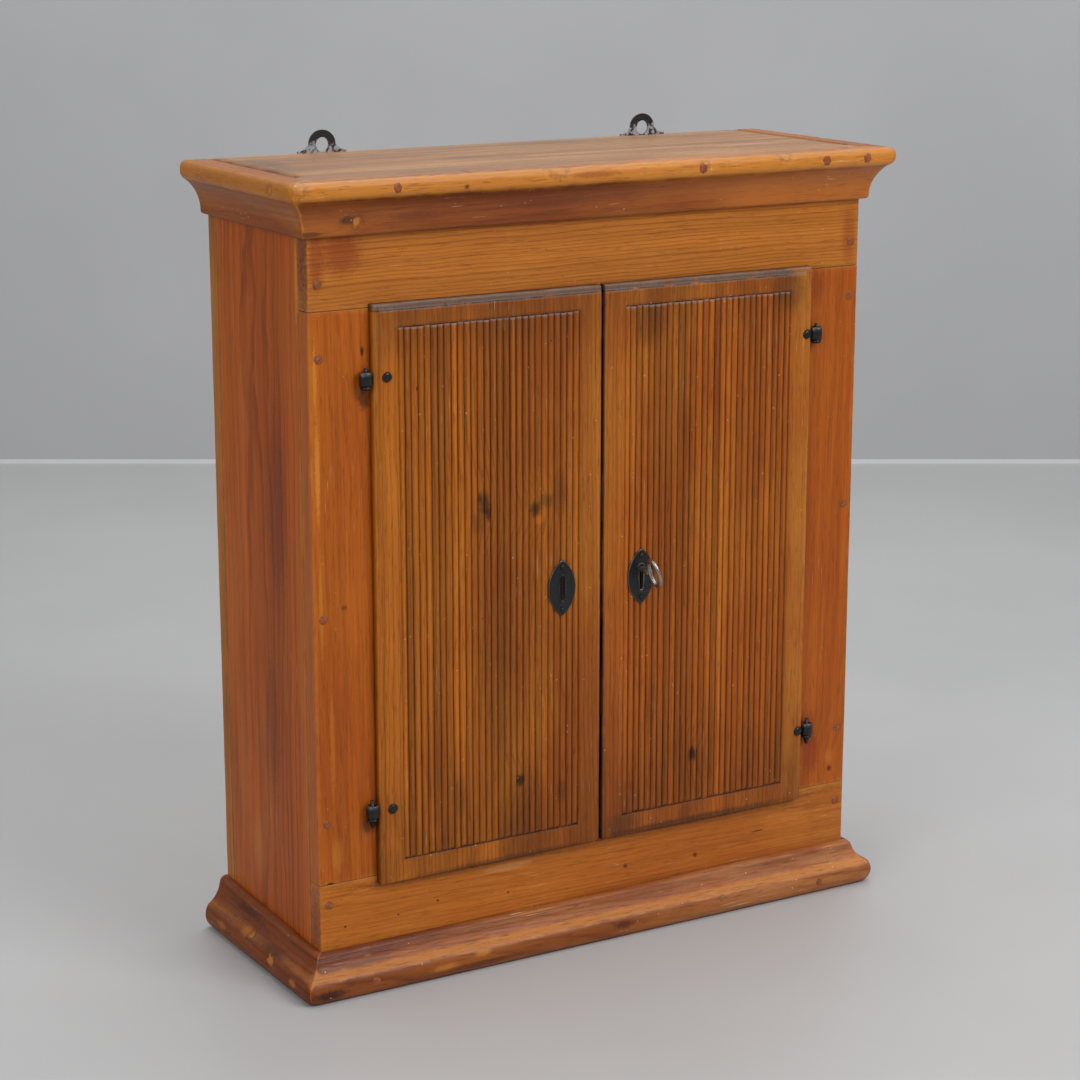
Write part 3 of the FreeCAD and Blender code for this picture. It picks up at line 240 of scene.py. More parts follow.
def makeUpwardDust():  # settles on what faces up
    tree, given, result = maskGroup("upwardDust")
    facing = split(tree, put(tree, "ShaderNodeNewGeometry").outputs["Normal"])[2]
    patchy = speckle(tree, given["Vector"], 90, 3, 0.6)
    feed(tree, result["Mask"], times(tree, ease(tree, facing, 0.25, 0.85), ease(tree, patchy, 0.25, 0.6)))
    return tree


def makeEdgeRub():  # edges rubbed bare, from the piece's own edge values
    tree, given, result = maskGroup("edgeRub", ("Reach", "Float", 0.6))
    patchy = minus(tree, speckle(tree, given["Vector"], 38, 4, 0.7), 0.5)
    broken = scaleAdd(tree, patchy, 0.8, stored(tree, "edge"))
    feed(tree, result["Mask"], ease(tree, broken, given["Reach"], calc(tree, "ADD", given["Reach"], 0.5)))
    return tree


def makeWormDots():  # small dark flight holes and specks
    tree, given, result = maskGroup("wormDots", ("Scale", "Float", 40), ("Size", "Float", 0.06))
    cells = put(tree, "ShaderNodeTexVoronoi", {"Vector": given["Vector"], "Scale": given["Scale"]}).outputs
    chosen = ease(tree, split(tree, cells["Color"])[0], 0.72, 1)  # a few cells only
    size = times(tree, chosen, given["Size"])
    feed(tree, result["Mask"], ease(tree, minus(tree, cells["Distance"], size), -0.012, 0.004, 1, 0))
    return tree


def makeScratches():  # fine light scratches along the grain, broken up
    tree, given, result = maskGroup("scratches")
    thin = speckle(tree, stretch(tree, given["Vector"], (26, 620, 620), (3, 1, 5)))
    where = speckle(tree, given["Vector"], 17, 3, 0.6)
    feed(tree, result["Mask"], times(tree, ease(tree, thin, 0.62, 0.72), ease(tree, where, 0.52, 0.7)))
    return tree


pineGrain = makePineGrain()
upwardDust = makeUpwardDust()
edgeRub = makeEdgeRub()
wormDots = makeWormDots()
scratches = makeScratches()

# Pine: tones are screen colours of early wood, late wood, stain and gold
grainTurns = {"x": (0, 0, 0), "y": (0, 0, -math.pi / 2), "z": (0, math.pi / 2, 0)}  # turns by axis
pineBase = {
    "grain": "z", "rings": 170, "tilt": 0.03, "wander": 0.016, "ripple": 0.006,
    "stainAmount": 0.6, "goldAmount": 0.35, "toneScale": 6, "lateAmount": 0.35, "streak": 0.1, "thread": 0.13,
    "pits": 0.3, "pitTone": (74, 32, 8), "rub": (204, 136, 56), "rubReach": 0.7, "rubAmount": 0.35,
    "dirtAndShade": (48, 22, 8), "torn": (70, 32, 10), "bare": (206, 136, 56),
    "dust": (150, 132, 116), "dustAmount": 0.25, "settledAmount": 0.85,
    "scratch": (226, 190, 146), "scratchAmount": 0.25, "dotTone": (30, 15, 8), "dots": 0.6, "dotScale": 52,
    "speckTone": (216, 182, 140), "specks": 0.3, "speckScale": 160, "speckSize": 0.13,
    "rough": 0.42, "shine": 0.24, "relief": 0.25, "marks": [], "shades": [],
}


def makePine(name, changes):
    look = {**pineBase, **changes}
    material, tree, shader, spot = newMaterial(name)
    early, late, stain, gold = [linear(tone) for tone in look["tones"]]
    turned = {"Vector": spot, "Rotation": grainTurns[look["grain"]]}
    along = put(tree, "ShaderNodeMapping", turned, vector_type="POINT").outputs[0]

    ragged = speckle(tree, spot, 240, 4, 0.7)
    marks, push = [], 0.0
    for centre, half, tone, amount, swell in look["marks"]:  # knots and stains, lengths in millimetres
        scale = [1 / (mm * part) for part in half]
        inMark = stretch(tree, spot, scale, [-place / part for place, part in zip(centre, half)])
        apart = put(tree, "ShaderNodeVectorMath", {0: inMark}, operation="LENGTH").outputs["Value"]
        marks.append((ease(tree, scaleAdd(tree, ragged, 1.1, apart), 0.9, 1.7, amount, 0), linear(tone)))
        if swell:  # the rings bend round a knot
            push = calc(tree, "ADD", ease(tree, apart, 0.3, 5, swell * mm, 0), push)

    ringLook = {name: look[name.lower()] for name in ("Rings", "Pith", "Tilt", "Wander", "Ripple")}
    lines = placeGroup(tree, pineGrain, Vector=along, Push=push, **ringLook)
    broad = speckle(tree, stretch(tree, along, (0.4, 1, 1)), look["toneScale"], 4, 0.55)
    other = speckle(tree, stretch(tree, along, (0.3, 1, 1), (5, 2, 9)), 1.7 * look["toneScale"], 4, 0.6)
    drawn = ease(tree, other, 0.25, 0.6, 1.2 * look["lateAmount"], 0.7 * look["lateAmount"])
    colour = layer(tree, early,
                   (ease(tree, broad, 0.44, 0.66, 0, look["stainAmount"]), stain),
                   (ease(tree, other, 0.5, 0.7, 0, look["goldAmount"]), gold),
                   (times(tree, lines["Late"], drawn), late))
    streaks = ease(tree, lines["Streak"], 0.3, 0.7, 1 - look["streak"], 1 + look["streak"])
    threads = ease(tree, lines["Fibre"], 0.25, 0.75, 1 - look["thread"], 1 + 0.8 * look["thread"])
    tint = calc(tree, "ADD", stored(tree, "tone"), 1)
    colour = brighten(tree, colour, times(tree, times(tree, streaks, threads), tint))
    for axis, begin, end, tone, amount, breakScale in look["shades"]:  # stained or paler zones, and on the doors a painted shade line at the top step, in mm
        reach = ease(tree, split(tree, spot)["XYZ".index(axis)], begin * mm, end * mm)
        patchy = speckle(tree, stretch(tree, along, (0.22, 1, 1)), breakScale, 4, 0.6)
        patchy = times(tree, reach, ease(tree, patchy, 0.3, 0.62))
        colour = layer(tree, colour, (times(tree, patchy, amount), linear(tone)))

    # the groove value darkens joints, mitres and knocks with dirt, creases and reed grooves with a plain
    # darkening, and the door gaps, lip faces, sunk field and reed foot with painted shade
    groove = stored(tree, "groove")
    dirtAndShade = times(tree, groove, ease(tree, other, 0.25, 0.7, 0.9, 0.45))
    rubbed = placeGroup(tree, edgeRub, Vector=spot, Reach=look["rubReach"])["Mask"]
    pores = speckle(tree, stretch(tree, along, (55, 760, 760), (4, 6, 2)))
    pores = ease(tree, pores, 0.56, 0.7, 0, look["pits"])
    scratched = placeGroup(tree, scratches, Vector=along)["Mask"]
    torn = scaleAdd(tree, ragged, 1.1, times(tree, stored(tree, "bare"), 0.9))
    dots = placeGroup(tree, wormDots, Vector=spot, Scale=look["dotScale"])["Mask"]
    grit = stretch(tree, spot, (1, 1, 1), (0.37, 0.11, 0.23))
    specks = placeGroup(tree, wormDots, Vector=grit, Scale=look["speckScale"], Size=look["speckSize"])["Mask"]
    dusty = times(tree, placeGroup(tree, upwardDust, Vector=spot)["Mask"], look["dustAmount"])
    dusty = times(tree, dusty, minus(tree, 1, groove))
    dusty = calc(tree, "MAXIMUM", dusty, times(tree, stored(tree, "settled"), look["settledAmount"]))
    colour = layer(tree, colour,
                   (dirtAndShade, linear(look["dirtAndShade"])),
                   (times(tree, rubbed, look["rubAmount"]), linear(look["rub"])),
                   (pores, linear(look["pitTone"])),
                   (times(tree, scratched, look["scratchAmount"]), linear(look["scratch"])),
                   *marks,
                   (ease(tree, torn, 0.8, 1, 0, 0.35), linear(look["torn"])),
                   (ease(tree, torn, 1, 1.3, 0, 0.65), linear(look["bare"])),
                   (times(tree, dots, look["dots"]), linear(look["dotTone"])),
                   (times(tree, specks, look["specks"]), linear(look["speckTone"])),
                   (dusty, linear(look["dust"])))
    feed(tree, shader["Base Color"], colour)
    worn = scaleAdd(tree, broad, 0.3, look["rough"] - 0.15)
    feed(tree, shader["Roughness"], scaleAdd(tree, dusty, 0.3, worn, clamp=True))
    feed(tree, shader["Specular IOR Level"], look["shine"])
    height = scaleAdd(tree, dots, -2.5, scaleAdd(tree, lines["Fibre"], 0.5, lines["Late"]))
    addRelief(tree, shader, scaleAdd(tree, pores, -1.2, height), look["relief"])
    return material


def marksOn(axis, place, halfDepth, *spots):  # spots: place and half size, tone, amount and any swell
    found = []
    for first, second, halfFirst, halfSecond, tone, amount, *swell in spots:
        centre, half = [first, second], [halfFirst, halfSecond]
        centre.insert(axis, place)
        half.insert(axis, halfDepth)
        found.append((centre, half, tone, amount, swell[0] if swell else 0))
    return found


darkMark, redMark = (30, 15, 8), (122, 40, 14)
frameFace, doorFace = (1, -88, 20), (1, -95, 40)  # axis, place and half depth in mm
railEnd, sideFace, topFace = (0, -315, 5), (0, -312, 20), (2, 790, 20)
plinthFace, plinthEnd = (1, -112, 30), (0, -335, 30)
doorMarksLeft = marksOn(
    *doorFace, (-110, 106, 120, 4, (58, 32, 12), 0.5), (-132, 470, 8, 15, (40, 20, 8), 0.7, 9),
    (-128, 460, 4, 8, (26, 12, 6), 0.7), (-137, 477, 3, 7, (30, 15, 6), 0.6),
    (-76, 459, 7, 9, (44, 22, 8), 0.75, 9), (-71, 448, 5, 6, (196, 104, 24), 0.7),
    (-64, 466, 10, 9, (60, 32, 12), 0.45), (-48, 474, 9, 26, (72, 38, 14), 0.35),
    (-140, 452, 8, 14, (62, 34, 12), 0.4), (-93, 185, 6, 8, darkMark, 0.85, 8),
    (-160, 178, 7, 26, (74, 40, 12), 0.35), (-46, 165, 8, 14, (60, 32, 10), 0.4),
    (-204, 590, 1.6, 2.6, darkMark, 0.9), (-120, 300, 18, 90, (84, 44, 14), 0.25),
    # painted shade behind the key plate's slot
    (-46, 376, 9, 22, (34, 16, 8), 1))
doorMarksRight = marksOn(
    *doorFace, (110, 107, 150, 5.5, (48, 28, 12), 0.65), (24, 118, 26, 14, (70, 44, 18), 0.5),
    (111, 178, 6, 10, darkMark, 0.85, 9), (102, 117, 8, 14, (104, 48, 12), 0.6, 7),
    (60, 242, 8, 34, (70, 36, 12), 0.3), (56, 630, 20, 30, (60, 36, 14), 0.4),
    # the last mark is painted shade behind the key plate's keyhole
    (222, 652, 24, 24, (64, 44, 20), 0.4), (46, 376, 9, 22, (20, 10, 6), 1))
stileMarks = marksOn(
    *frameFace, (-257, 629, 2.2, 5.5, darkMark, 0.85), (-280, 386, 4, 3, darkMark, 0.5),
    (-300, 113, 5, 1.6, darkMark, 0.9), (293, 129, 4, 4, darkMark, 0.7),
    (-256, 586, 8, 15, (52, 24, 8), 0.75), (-257, 166, 9, 12, (58, 28, 8), 0.6),
    (-305, 520, 3, 60, (216, 142, 50), 0.6), (-306, 606, 2.5, 40, (216, 140, 46), 0.55),
    (-304, 390, 2.5, 60, (206, 130, 42), 0.4), (-295, 250, 3, 60, (200, 120, 36), 0.35),
    (-292, 140, 7, 22, (206, 134, 44), 0.3), (262, 650, 12, 22, redMark, 0.4),
    (268, 150, 12, 30, redMark, 0.5), (292, 143, 6, 10, (184, 104, 34), 0.7, 10),
    (262, 178, 12, 22, redMark, 0.4))
railMarks = marksOn(
    *frameFace, (-276, 722, 24, 26, (128, 40, 14), 0.6), (-302, 720, 9, 40, (130, 44, 16), 0.55),
    (300, 700, 10, 34, (140, 56, 18), 0.5))
railMarks += marksOn(*railEnd, (-78, 720, 26, 90, (96, 34, 14), 1))
railLowMarks = marksOn(
    *frameFace, (-285, 66, 1.6, 1.6, darkMark, 0.95), (-227, 67, 1.4, 1.2, darkMark, 0.9),
    (-183, 73, 1.5, 1.4, darkMark, 0.9), (-103, 66, 1.5, 1.3, darkMark, 0.9),
    (36, 67, 3, 3, darkMark, 0.7, 3), (122, 63, 3.5, 3, darkMark, 0.7, 3),
    # the two long dark bands at the top of the rail are a painted shadow under the doors
    (-126, 104, 170, 5.4, (52, 24, 8), 0.75), (126, 104, 170, 5.4, (52, 24, 8), 0.75),
    (-105, 93, 34, 4.5, (208, 152, 96), 0.4), (201, 75, 9, 1.2, darkMark, 0.7))
railLowMarks += marksOn(*railEnd, (-78, 60, 26, 90, (104, 42, 16), 0.9))
topMarks = marksOn(
    *topFace, (-220, 20, 110, 46, (148, 92, 48), 0.55), (-284, 50, 20, 56, (84, 62, 50), 0.6),
    (-150, 80, 150, 7, (92, 74, 64), 0.6), (120, 40, 170, 6, (96, 76, 64), 0.55),
    (40, 108, 220, 9, (84, 68, 60), 0.6), (-220, 10, 70, 10, (104, 82, 68), 0.5),
    (230, -10, 60, 8, (206, 156, 104), 0.5), (-40, -30, 120, 5, (206, 158, 108), 0.4))
sideMarks = marksOn(
    *sideFace, (52, 112, 14, 40, (184, 114, 46), 0.45), (84, 190, 14, 80, (180, 106, 40), 0.4),
    (-10, 470, 24, 120, (96, 34, 12), 0.5), (10, 250, 20, 90, (96, 34, 12), 0.45),
    (132, 681, 5, 7, darkMark, 0.9), (-64, 694, 4, 46, (212, 132, 40), 0.6),
    (-40, 650, 26, 70, (170, 88, 26), 0.45), (60, 560, 16, 60, (180, 98, 34), 0.4))
corniceMarks = marksOn(1, -98, 20, (-274, 752, 10, 5, (60, 32, 14), 0.75))
corniceMarks += marksOn(1, -94, 20, (-312, 741, 16, 3, (44, 24, 12), 0.7))
corniceMarks += marksOn(
    1, -100, 20, (-206, 752, 34, 5, (104, 46, 16), 0.6), (-60, 756, 60, 6, (108, 48, 14), 0.5))
corniceMarks += marksOn(
    1, -115, 20, (-160, 778, 3, 3, (70, 34, 12), 0.8), (-20, 782, 30, 4, (150, 74, 26), 0.6))
plinthMarks = marksOn(
    *plinthFace, (-314, 10, 22, 6, (36, 14, 6), 0.8), (18, 15, 14, 5, (56, 24, 10), 0.7),
    (-188, 12, 18, 4.5, (198, 124, 46), 0.65), (-146, 19, 11, 4, (202, 130, 52), 0.6),
    (-230, 44, 60, 3, (60, 24, 10), 0.5), (-150, 8, 60, 4, (70, 30, 12), 0.6))
plinthSideMarks = marksOn(
    *plinthEnd, (60, 40, 50, 6, (44, 18, 8), 0.7), (-20, 26, 30, 5, (50, 22, 10), 0.6),
    (-76, 14, 9, 5, (196, 122, 44), 0.6), (40, 26, 13, 5, (186, 112, 38), 0.6),
    (92, 16, 12, 5, (180, 108, 38), 0.5))
doorShades = [  # axis, begin and end in mm, tone, amount, scale of the breaks
    ("Z", 615, 668, (70, 38, 12), 0.42, 26), ("Z", 560, 640, (96, 50, 12), 0.3, 42),
    # the dark line from 665.5 to 666.1 mm is painted shade at the step under the dusty top band
    ("Z", 250, 130, (72, 38, 12), 0.4, 34), ("Z", 665.5, 666.1, (46, 28, 20), 2, 70),
    ("Z", 666.9, 667.7, (102, 80, 68), 12, 70)]
doorLook = dict(
    rings=210, lateAmount=0.45, streak=0.16, goldAmount=0.5, rubAmount=0.25, dots=0.8, rough=0.44,
    dust=(150, 134, 124), dustAmount=0.45, specks=0.5, pits=0.4)
woods = {
    "side": dict(tones=((170, 80, 10), (112, 44, 6), (120, 44, 8), (184, 104, 28)),
        pith=(0, 0.05, 0.24), rings=160, stainAmount=0.75, goldAmount=0.4, toneScale=5, lateAmount=0.58,
        streak=0.18, wander=0.026, shine=0.14, marks=sideMarks,
        shades=[("Y", 30, 110, (184, 96, 24), 0.55, 30), ("Y", -46, -66, (190, 110, 34), 0.55, 9)]),
    "rail": dict(tones=((182, 108, 34), (116, 54, 10), (158, 76, 20), (198, 128, 50)),
        pith=(0, 0.12, 0.45), rings=310, grain="x", stainAmount=0.4, tilt=0.012, ripple=0.0035,
        wander=0.012, lateAmount=0.54, streak=0.08, marks=railMarks),
    "railLow": dict(tones=((178, 100, 28), (132, 66, 12), (150, 72, 20), (202, 132, 54)),
        pith=(0, -0.04, 0.14), grain="x", rings=230, stainAmount=0.4, tilt=0.05, wander=0.02,
        lateAmount=0.3, dots=0.9, scratchAmount=0.4, marks=railLowMarks),
    "stile": dict(tones=((172, 87, 14), (128, 50, 6), (148, 58, 8), (188, 100, 20)),
        pith=(0, 0.22, 0.03), rings=130, stainAmount=0.5, toneScale=8, tilt=0.05, lateAmount=0.3,
        marks=stileMarks),
    "doorLeft": dict(tones=((173, 96, 18), (108, 50, 8), (134, 63, 10), (186, 114, 30)),
        pith=(0, -0.04, -0.11), marks=doorMarksLeft, shades=doorShades, **doorLook),
    "doorRight": dict(tones=((166, 86, 16), (108, 50, 8), (131, 58, 9), (186, 114, 30)),
        pith=(0, -0.05, 0.15), marks=doorMarksRight,
        shades=doorShades + [("X", 216, 232, (186, 118, 40), 0.55, 30)], **doorLook),
    "cornice": dict(tones=((138, 70, 15), (96, 40, 8), (112, 42, 10), (184, 108, 32)),
        pith=(0, 0.08, 0.7), rings=230, grain="x", streak=0.16, rub=(208, 132, 44), rubAmount=0.8,
        rubReach=0.2, scratchAmount=0.8, rough=0.38, shine=0.35, specks=0.6, pits=0.35, dots=0.9,
        dust=(178, 130, 84), dustAmount=0.6, marks=corniceMarks,
        shades=[("X", -90, 90, (184, 104, 32), 0.75, 16), ("X", -170, -290, (188, 106, 34), 0.75, 16)]),
    "corniceSide": dict(tones=((148, 77, 18), (112, 50, 12), (120, 54, 16), (186, 116, 44)),
        pith=(0, 0.2, 0.7), grain="y", rub=(192, 122, 42), rubAmount=0.68, rubReach=0.25, scratchAmount=0.7,
        shine=0.2, specks=0.6, pits=0.35, dots=0.9, dust=(160, 116, 78), dustAmount=0.45),
    "plinth": dict(tones=((160, 88, 30), (92, 38, 11), (126, 54, 16), (196, 124, 48)),
        pith=(0, 0.02, 0.12), rings=120, grain="x", toneScale=8, tilt=0.1, wander=0.03, lateAmount=0.45,
        rub=(206, 134, 66), rubAmount=0.65, rubReach=0.35, scratchAmount=0.6, dots=1, specks=0.9, pits=0.5,
        rough=0.4, shine=0.28, dustAmount=0.06, marks=plinthMarks,
        shades=[("X", 60, -200, (98, 38, 14), 0.85, 16), ("X", -20, 200, (200, 138, 88), 0.4, 44)]),
    "plinthSide": dict(tones=((128, 60, 13), (70, 28, 6), (80, 34, 12), (168, 92, 24)),
        pith=(0, 0.3, 0.09), rings=150, grain="y", stainAmount=0.75, toneScale=10, tilt=0.1, wander=0.02,
        rub=(166, 98, 42), rubAmount=0.5, rubReach=0.5, dots=1, specks=0.5, pits=0.5, shine=0.16,
        dustAmount=0.1, marks=plinthSideMarks),
    "top": dict(tones=((160, 110, 62), (112, 70, 40), (100, 72, 56), (186, 134, 80)),
        pith=(0, 0.1, 0.62), rings=140, grain="x", stainAmount=0.7, toneScale=9, streak=0.3,
        scratchAmount=0.6, pits=0.5, dust=(150, 126, 104), dustAmount=0.3, marks=topMarks),
    "inside": dict(tones=((186, 130, 70), (150, 92, 42), (130, 84, 44), (196, 144, 84)),
        pith=(0, 0.1, 0.25), grain="x", rings=140, rough=0.62),
    "back": dict(tones=((176, 108, 44), (138, 78, 28), (120, 70, 30), (190, 126, 58)),
        pith=(0, 0.25, 0.05), rings=120, rough=0.6),
    "peg": dict(tones=((144, 80, 46), (96, 48, 28), (112, 56, 32), (178, 108, 62)),
        pith=(0, 0, 0), rings=700, grain="y", goldAmount=0.8, toneScale=190, rubAmount=0.3, dots=0.4,
        dotScale=260, dustAmount=0.1),
}
pine = {name: makePine(name + "Pine", look) for name, look in woods.items()}

# Iron: black or bright, rubbed on its edges
ironBase = {
    "base": (20, 20, 20), "lively": 1.8, "bare": (120, 118, 116), "bareAmount": 0.55, "rubReach": 0.55,
    "rough": 0.3, "metallic": 0.35, "bareMetal": 0.5, "rust": 0.1, "rustTone": (70, 38, 22), "relief": 0.5,
    "paint": None}
irons = {
    "black": {},
    "hanger": dict(base=(14, 14, 15),
        bare=(150, 151, 156), bareAmount=0.3, rough=0.34, metallic=0, bareMetal=0.1, rust=0.05,
        paint=(814, 816)),
    "nail": dict(base=(60, 54, 50), rough=0.55, metallic=0.6, rust=0.5),
    "lock": dict(base=(74, 70, 66), bare=(140, 136, 132), rough=0.5, metallic=0.7, rust=0.35),
    "lockSteel": dict(base=(128, 124, 120), bare=(170, 168, 164), metallic=0.9, rust=0.15),
    "key": dict(base=(132, 126, 118), bare=(214, 210, 202), rough=0.26, metallic=0.9, rust=0.04),
    "screw": dict(base=(96, 92, 88), bare=(150, 146, 142), metallic=0.85, rust=0.25),
}


def makeIron(name, changes):
    look = {**ironBase, **changes}
    material, tree, shader, spot = newMaterial(name)
    pitted = speckle(tree, spot, 420, 4, 0.65)
    rubbed = placeGroup(tree, edgeRub, Vector=spot, Reach=look["rubReach"])["Mask"]
    shown = times(tree, rubbed, look["bareAmount"])
    if look["paint"]:  # painted above a ragged line, bare below it, in millimetres
        begin, end = look["paint"]
        flaking = scaleAdd(tree, speckle(tree, spot, 190, 5, 0.75), 0.03, split(tree, spot)[2])
        gone = ease(tree, flaking, begin * mm, end * mm, 1, 0)
        flecks = speckle(tree, stretch(tree, spot, (1, 1, 1), (3, 5, 1)), 260, 4, 0.7)
        shown = calc(tree, "MAXIMUM", shown, times(tree, gone, ease(tree, flecks, 0.43, 0.5)))
    base = linear(look["base"])
    lively = tuple(min(1, look["lively"] * part) for part in base)
    rusty = times(tree, ease(tree, speckle(tree, spot, 150, 4, 0.7), 0.5, 0.7), look["rust"])
    colour = layer(tree, base, (pitted, lively), (shown, linear(look["bare"])),
                   (rusty, linear(look["rustTone"])))
    feed(tree, shader["Base Color"], colour)
    bright = scaleAdd(tree, shown, look["bareMetal"], look["metallic"], clamp=True)
    feed(tree, shader["Metallic"], times(tree, bright, minus(tree, 1, rusty)))
    feed(tree, shader["Roughness"], scaleAdd(tree, pitted, 0.3, look["rough"] - 0.15, clamp=True))
    addRelief(tree, shader, scaleAdd(tree, shown, -0.6, pitted), look["relief"])
    return material


iron = {name: makeIron(name + "Iron", look) for name, look in irons.items()}
print("materials made:", len(pine), "woods,", len(iron), "metals")

# Boards: rounded and rubbed along every edge, with a slight wave in their faces
boardWear = {"step": 14 * mm, "wave": 0.12 * mm, "waveSize": 70 * mm, "uneven": 0.28, "unevenSize": 30 * mm,
             "nearEdge": 18 * mm, "nearLines": (0, 0.3, 0.65, 1, 2.4, 5), "seam": 0.7, "seamDirt": 0.9}


def edgeLines(low, high, rounding, step, extra=()):  # close together at the ends, then in even steps
    near = [share * rounding for share in boardWear["nearLines"] if share * rounding < (high - low) / 2]
    middle = high - low - 2 * near[-1]
    count = max(1, int(middle / step))
    inner = [low + near[-1] + middle * part / count for part in range(count + 1)]
    found = sorted([low + part for part in near] + inner + [high - part for part in near] + list(extra))
    return [part for place, part in enumerate(found) if place == 0 or part - found[place - 1] > tiny]


def boxSurface(lines):
    spans = [len(part) - 1 for part in lines]
    known, points, faces = {}, [], []
    for axis in range(3):
        first, second = (axis + 1) % 3, (axis + 2) % 3
        for end in (0, spans[axis]):
            for u in range(spans[first]):
                for v in range(spans[second]):
                    quad = []
                    for du, dv in ((0, 0), (1, 0), (1, 1), (0, 1)):
                        place = [end, end, end]
                        place[first], place[second] = u + du, v + dv
                        place = tuple(place)
                        if place not in known:
                            known[place] = len(points)
                            points.append([lines[part][place[part]] for part in range(3)])
                        quad.append(known[place])
                    faces.append(quad if end else quad[::-1])
    return np.array(points), faces


def edgeGaps(points, low, high):  # distance to the second nearest face, so nought along an edge
    return np.sort(np.minimum(points - np.array(low), np.array(high) - points), axis=1)[:, 1]


def directions(vectors):
    return vectors / np.maximum(np.linalg.norm(vectors, axis=1), 1e-9)[:, None]


def roundBox(points, low, high, rounding, seed):  # pulls the edges in to an uneven round
    edge = np.clip(1 - edgeGaps(points, low, high) / boardWear["nearEdge"], 0, 1)
    uneven = boardWear["uneven"] * waves(points, boardWear["unevenSize"], seed)
    radius = rounding * (1 - boardWear["uneven"] + uneven)[:, None]
    inner = np.clip(points, np.array(low) + radius, np.array(high) - radius)
    wave = boardWear["wave"] * waves(points, boardWear["waveSize"], seed + 1)[:, None]
    return inner + directions(points - inner) * (radius - boardWear["wave"] + wave), edge


def board(name, low, high, seed, rounding, seams=(), extra=((), (), ()), shape=None):
    lines = [edgeLines(low[axis], high[axis], rounding, boardWear["step"], extra[axis]) for axis in range(3)]
    points, faces = boxSurface(lines)
    shaped, edge = roundBox(points, low, high, rounding, seed)
    dirtAndShade = np.zeros(len(points))
    for axis, end in seams:  # dirt along an end that meets another piece
        gap = high[axis] - points[:, axis] if end else points[:, axis] - low[axis]
        dirtAndShade = np.maximum(dirtAndShade, np.clip(1 - gap / (boardWear["seam"] * rounding), 0, 1))
    if shape:  # and in what is sunk
        shaped = shape(points, shaped)
        dirtAndShade = np.maximum(dirtAndShade, np.clip((np.abs(shaped - points)[:, 2] - rounding) / mm, 0, 1))
    piece = newPiece(name, shaped, faces)
    writeValues(piece, edge=edge, groove=boardWear["seamDirt"] * dirtAndShade)
    return piece


frontOnly, frontAndBack, footAndHead = ((1, 0),), ((1, 0), (1, 1)), ((2, 0), (2, 1))  # axis and end of each
plainBoards = {  # node: wood, slot, edge round in mm, seams
    "side_left": ("side", "pine_case", 1.6, frontAndBack),
    "side_right": ("side", "pine_case", 1.6, frontAndBack),
    "top_rail": ("rail", "pine_frame", 1.3, ()), "bottom_rail": ("railLow", "pine_frame", 1.3, ()),
    "stile_left": ("stile", "pine_frame", 1.3, footAndHead),
    "stile_right": ("stile", "pine_frame", 1.3, footAndHead),
    "back_board_left": ("back", "pine_back", 1.6, frontOnly),
    "back_board_middle": ("back", "pine_back", 1.6, ()),
    "back_board_right": ("back", "pine_back", 1.6, frontOnly),
    "bottom_board": ("inside", "pine_inside", 1.2, ()),
    "shelf_lower": ("inside", "pine_inside", 1.4, ()), "shelf_upper": ("inside", "pine_inside", 1.4, ()),
}
# Notch for the slide bolt, in the back of the top rail
catch = {"play": 1.2 * mm, "tall": 15 * mm, "wall": 0.2 * mm}
railLow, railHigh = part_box("top_rail")
boltLow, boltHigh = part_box("slide_bolt")
catchLeft, catchRight = boltLow.x - catch["play"], boltHigh.x + catch["play"]
catchFront, catchTop = boltLow.y - catch["play"], railLow.z + catch["tall"]
catchLines = ([catchLeft - catch["wall"], catchLeft, catchRight, catchRight + catch["wall"]],
              [catchFront], [catchTop])


def foldCatch(points, shaped):  # the back and the lower face fold in to the notch
    x, y, z = points.T
    across = (x > catchLeft - tiny) & (x < catchRight + tiny)
    behind = across & (y > railHigh.y - tiny) & (z < catchTop + tiny)
    below = across & (z < railLow.z + tiny) & (y > catchFront - tiny)
    deep = railHigh.y - catchFront
    shaped[behind, 1] = catchFront + (z[behind] - railLow.z) / catch["tall"] * deep
    shaped[behind, 2] = catchTop
    shaped[below, 1] = catchFront
    shaped[below, 2] = railLow.z + (y[below] - catchFront) / deep * catch["tall"]
    return shaped


for seed, (nodeName, (wood, slot, rounding, seams)) in enumerate(plainBoards.items()):
    notch = {"extra": catchLines, "shape": foldCatch} if nodeName == "top_rail" else {}
    piece = board(nodeName + "_worn", *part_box(nodeName), seed, rounding * mm, seams, **notch)
    dress(piece, "cabinet", pine[wood], slot, nodeName)

topSeam = {"width": 7 * mm, "depth": 2.2 * mm, "reach": 0.86, "wall": 0.3 * mm, "round": 1 * mm, "seed": 31}
topLow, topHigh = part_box("top_board")


def sinkSeams(points, shaped):  # shrunk joints beside the side mouldings
    beside = np.abs(points[:, 0]) > topHigh.x - topSeam["width"]
    seamFront = topHigh.y - topSeam["reach"] * (topHigh.y - topLow.y)
    shaped[beside & (points[:, 1] > seamFront) & (points[:, 2] > topHigh.z - tiny), 2] -= topSeam["depth"]
    return shaped


seamWalls = [topHigh.x - topSeam["width"] - gap for gap in (-topSeam["wall"], topSeam["wall"])]
seamLines = ([side * wall for side in (-1, 1) for wall in seamWalls], (), ())
piece = board("top_board_worn", topLow, topHigh, topSeam["seed"], topSeam["round"],
              extra=seamLines, shape=sinkSeams)
dress(piece, "cabinet", pine["top"], "pine_top", "top_board")
print("boards made:", len(plainBoards) + 1)

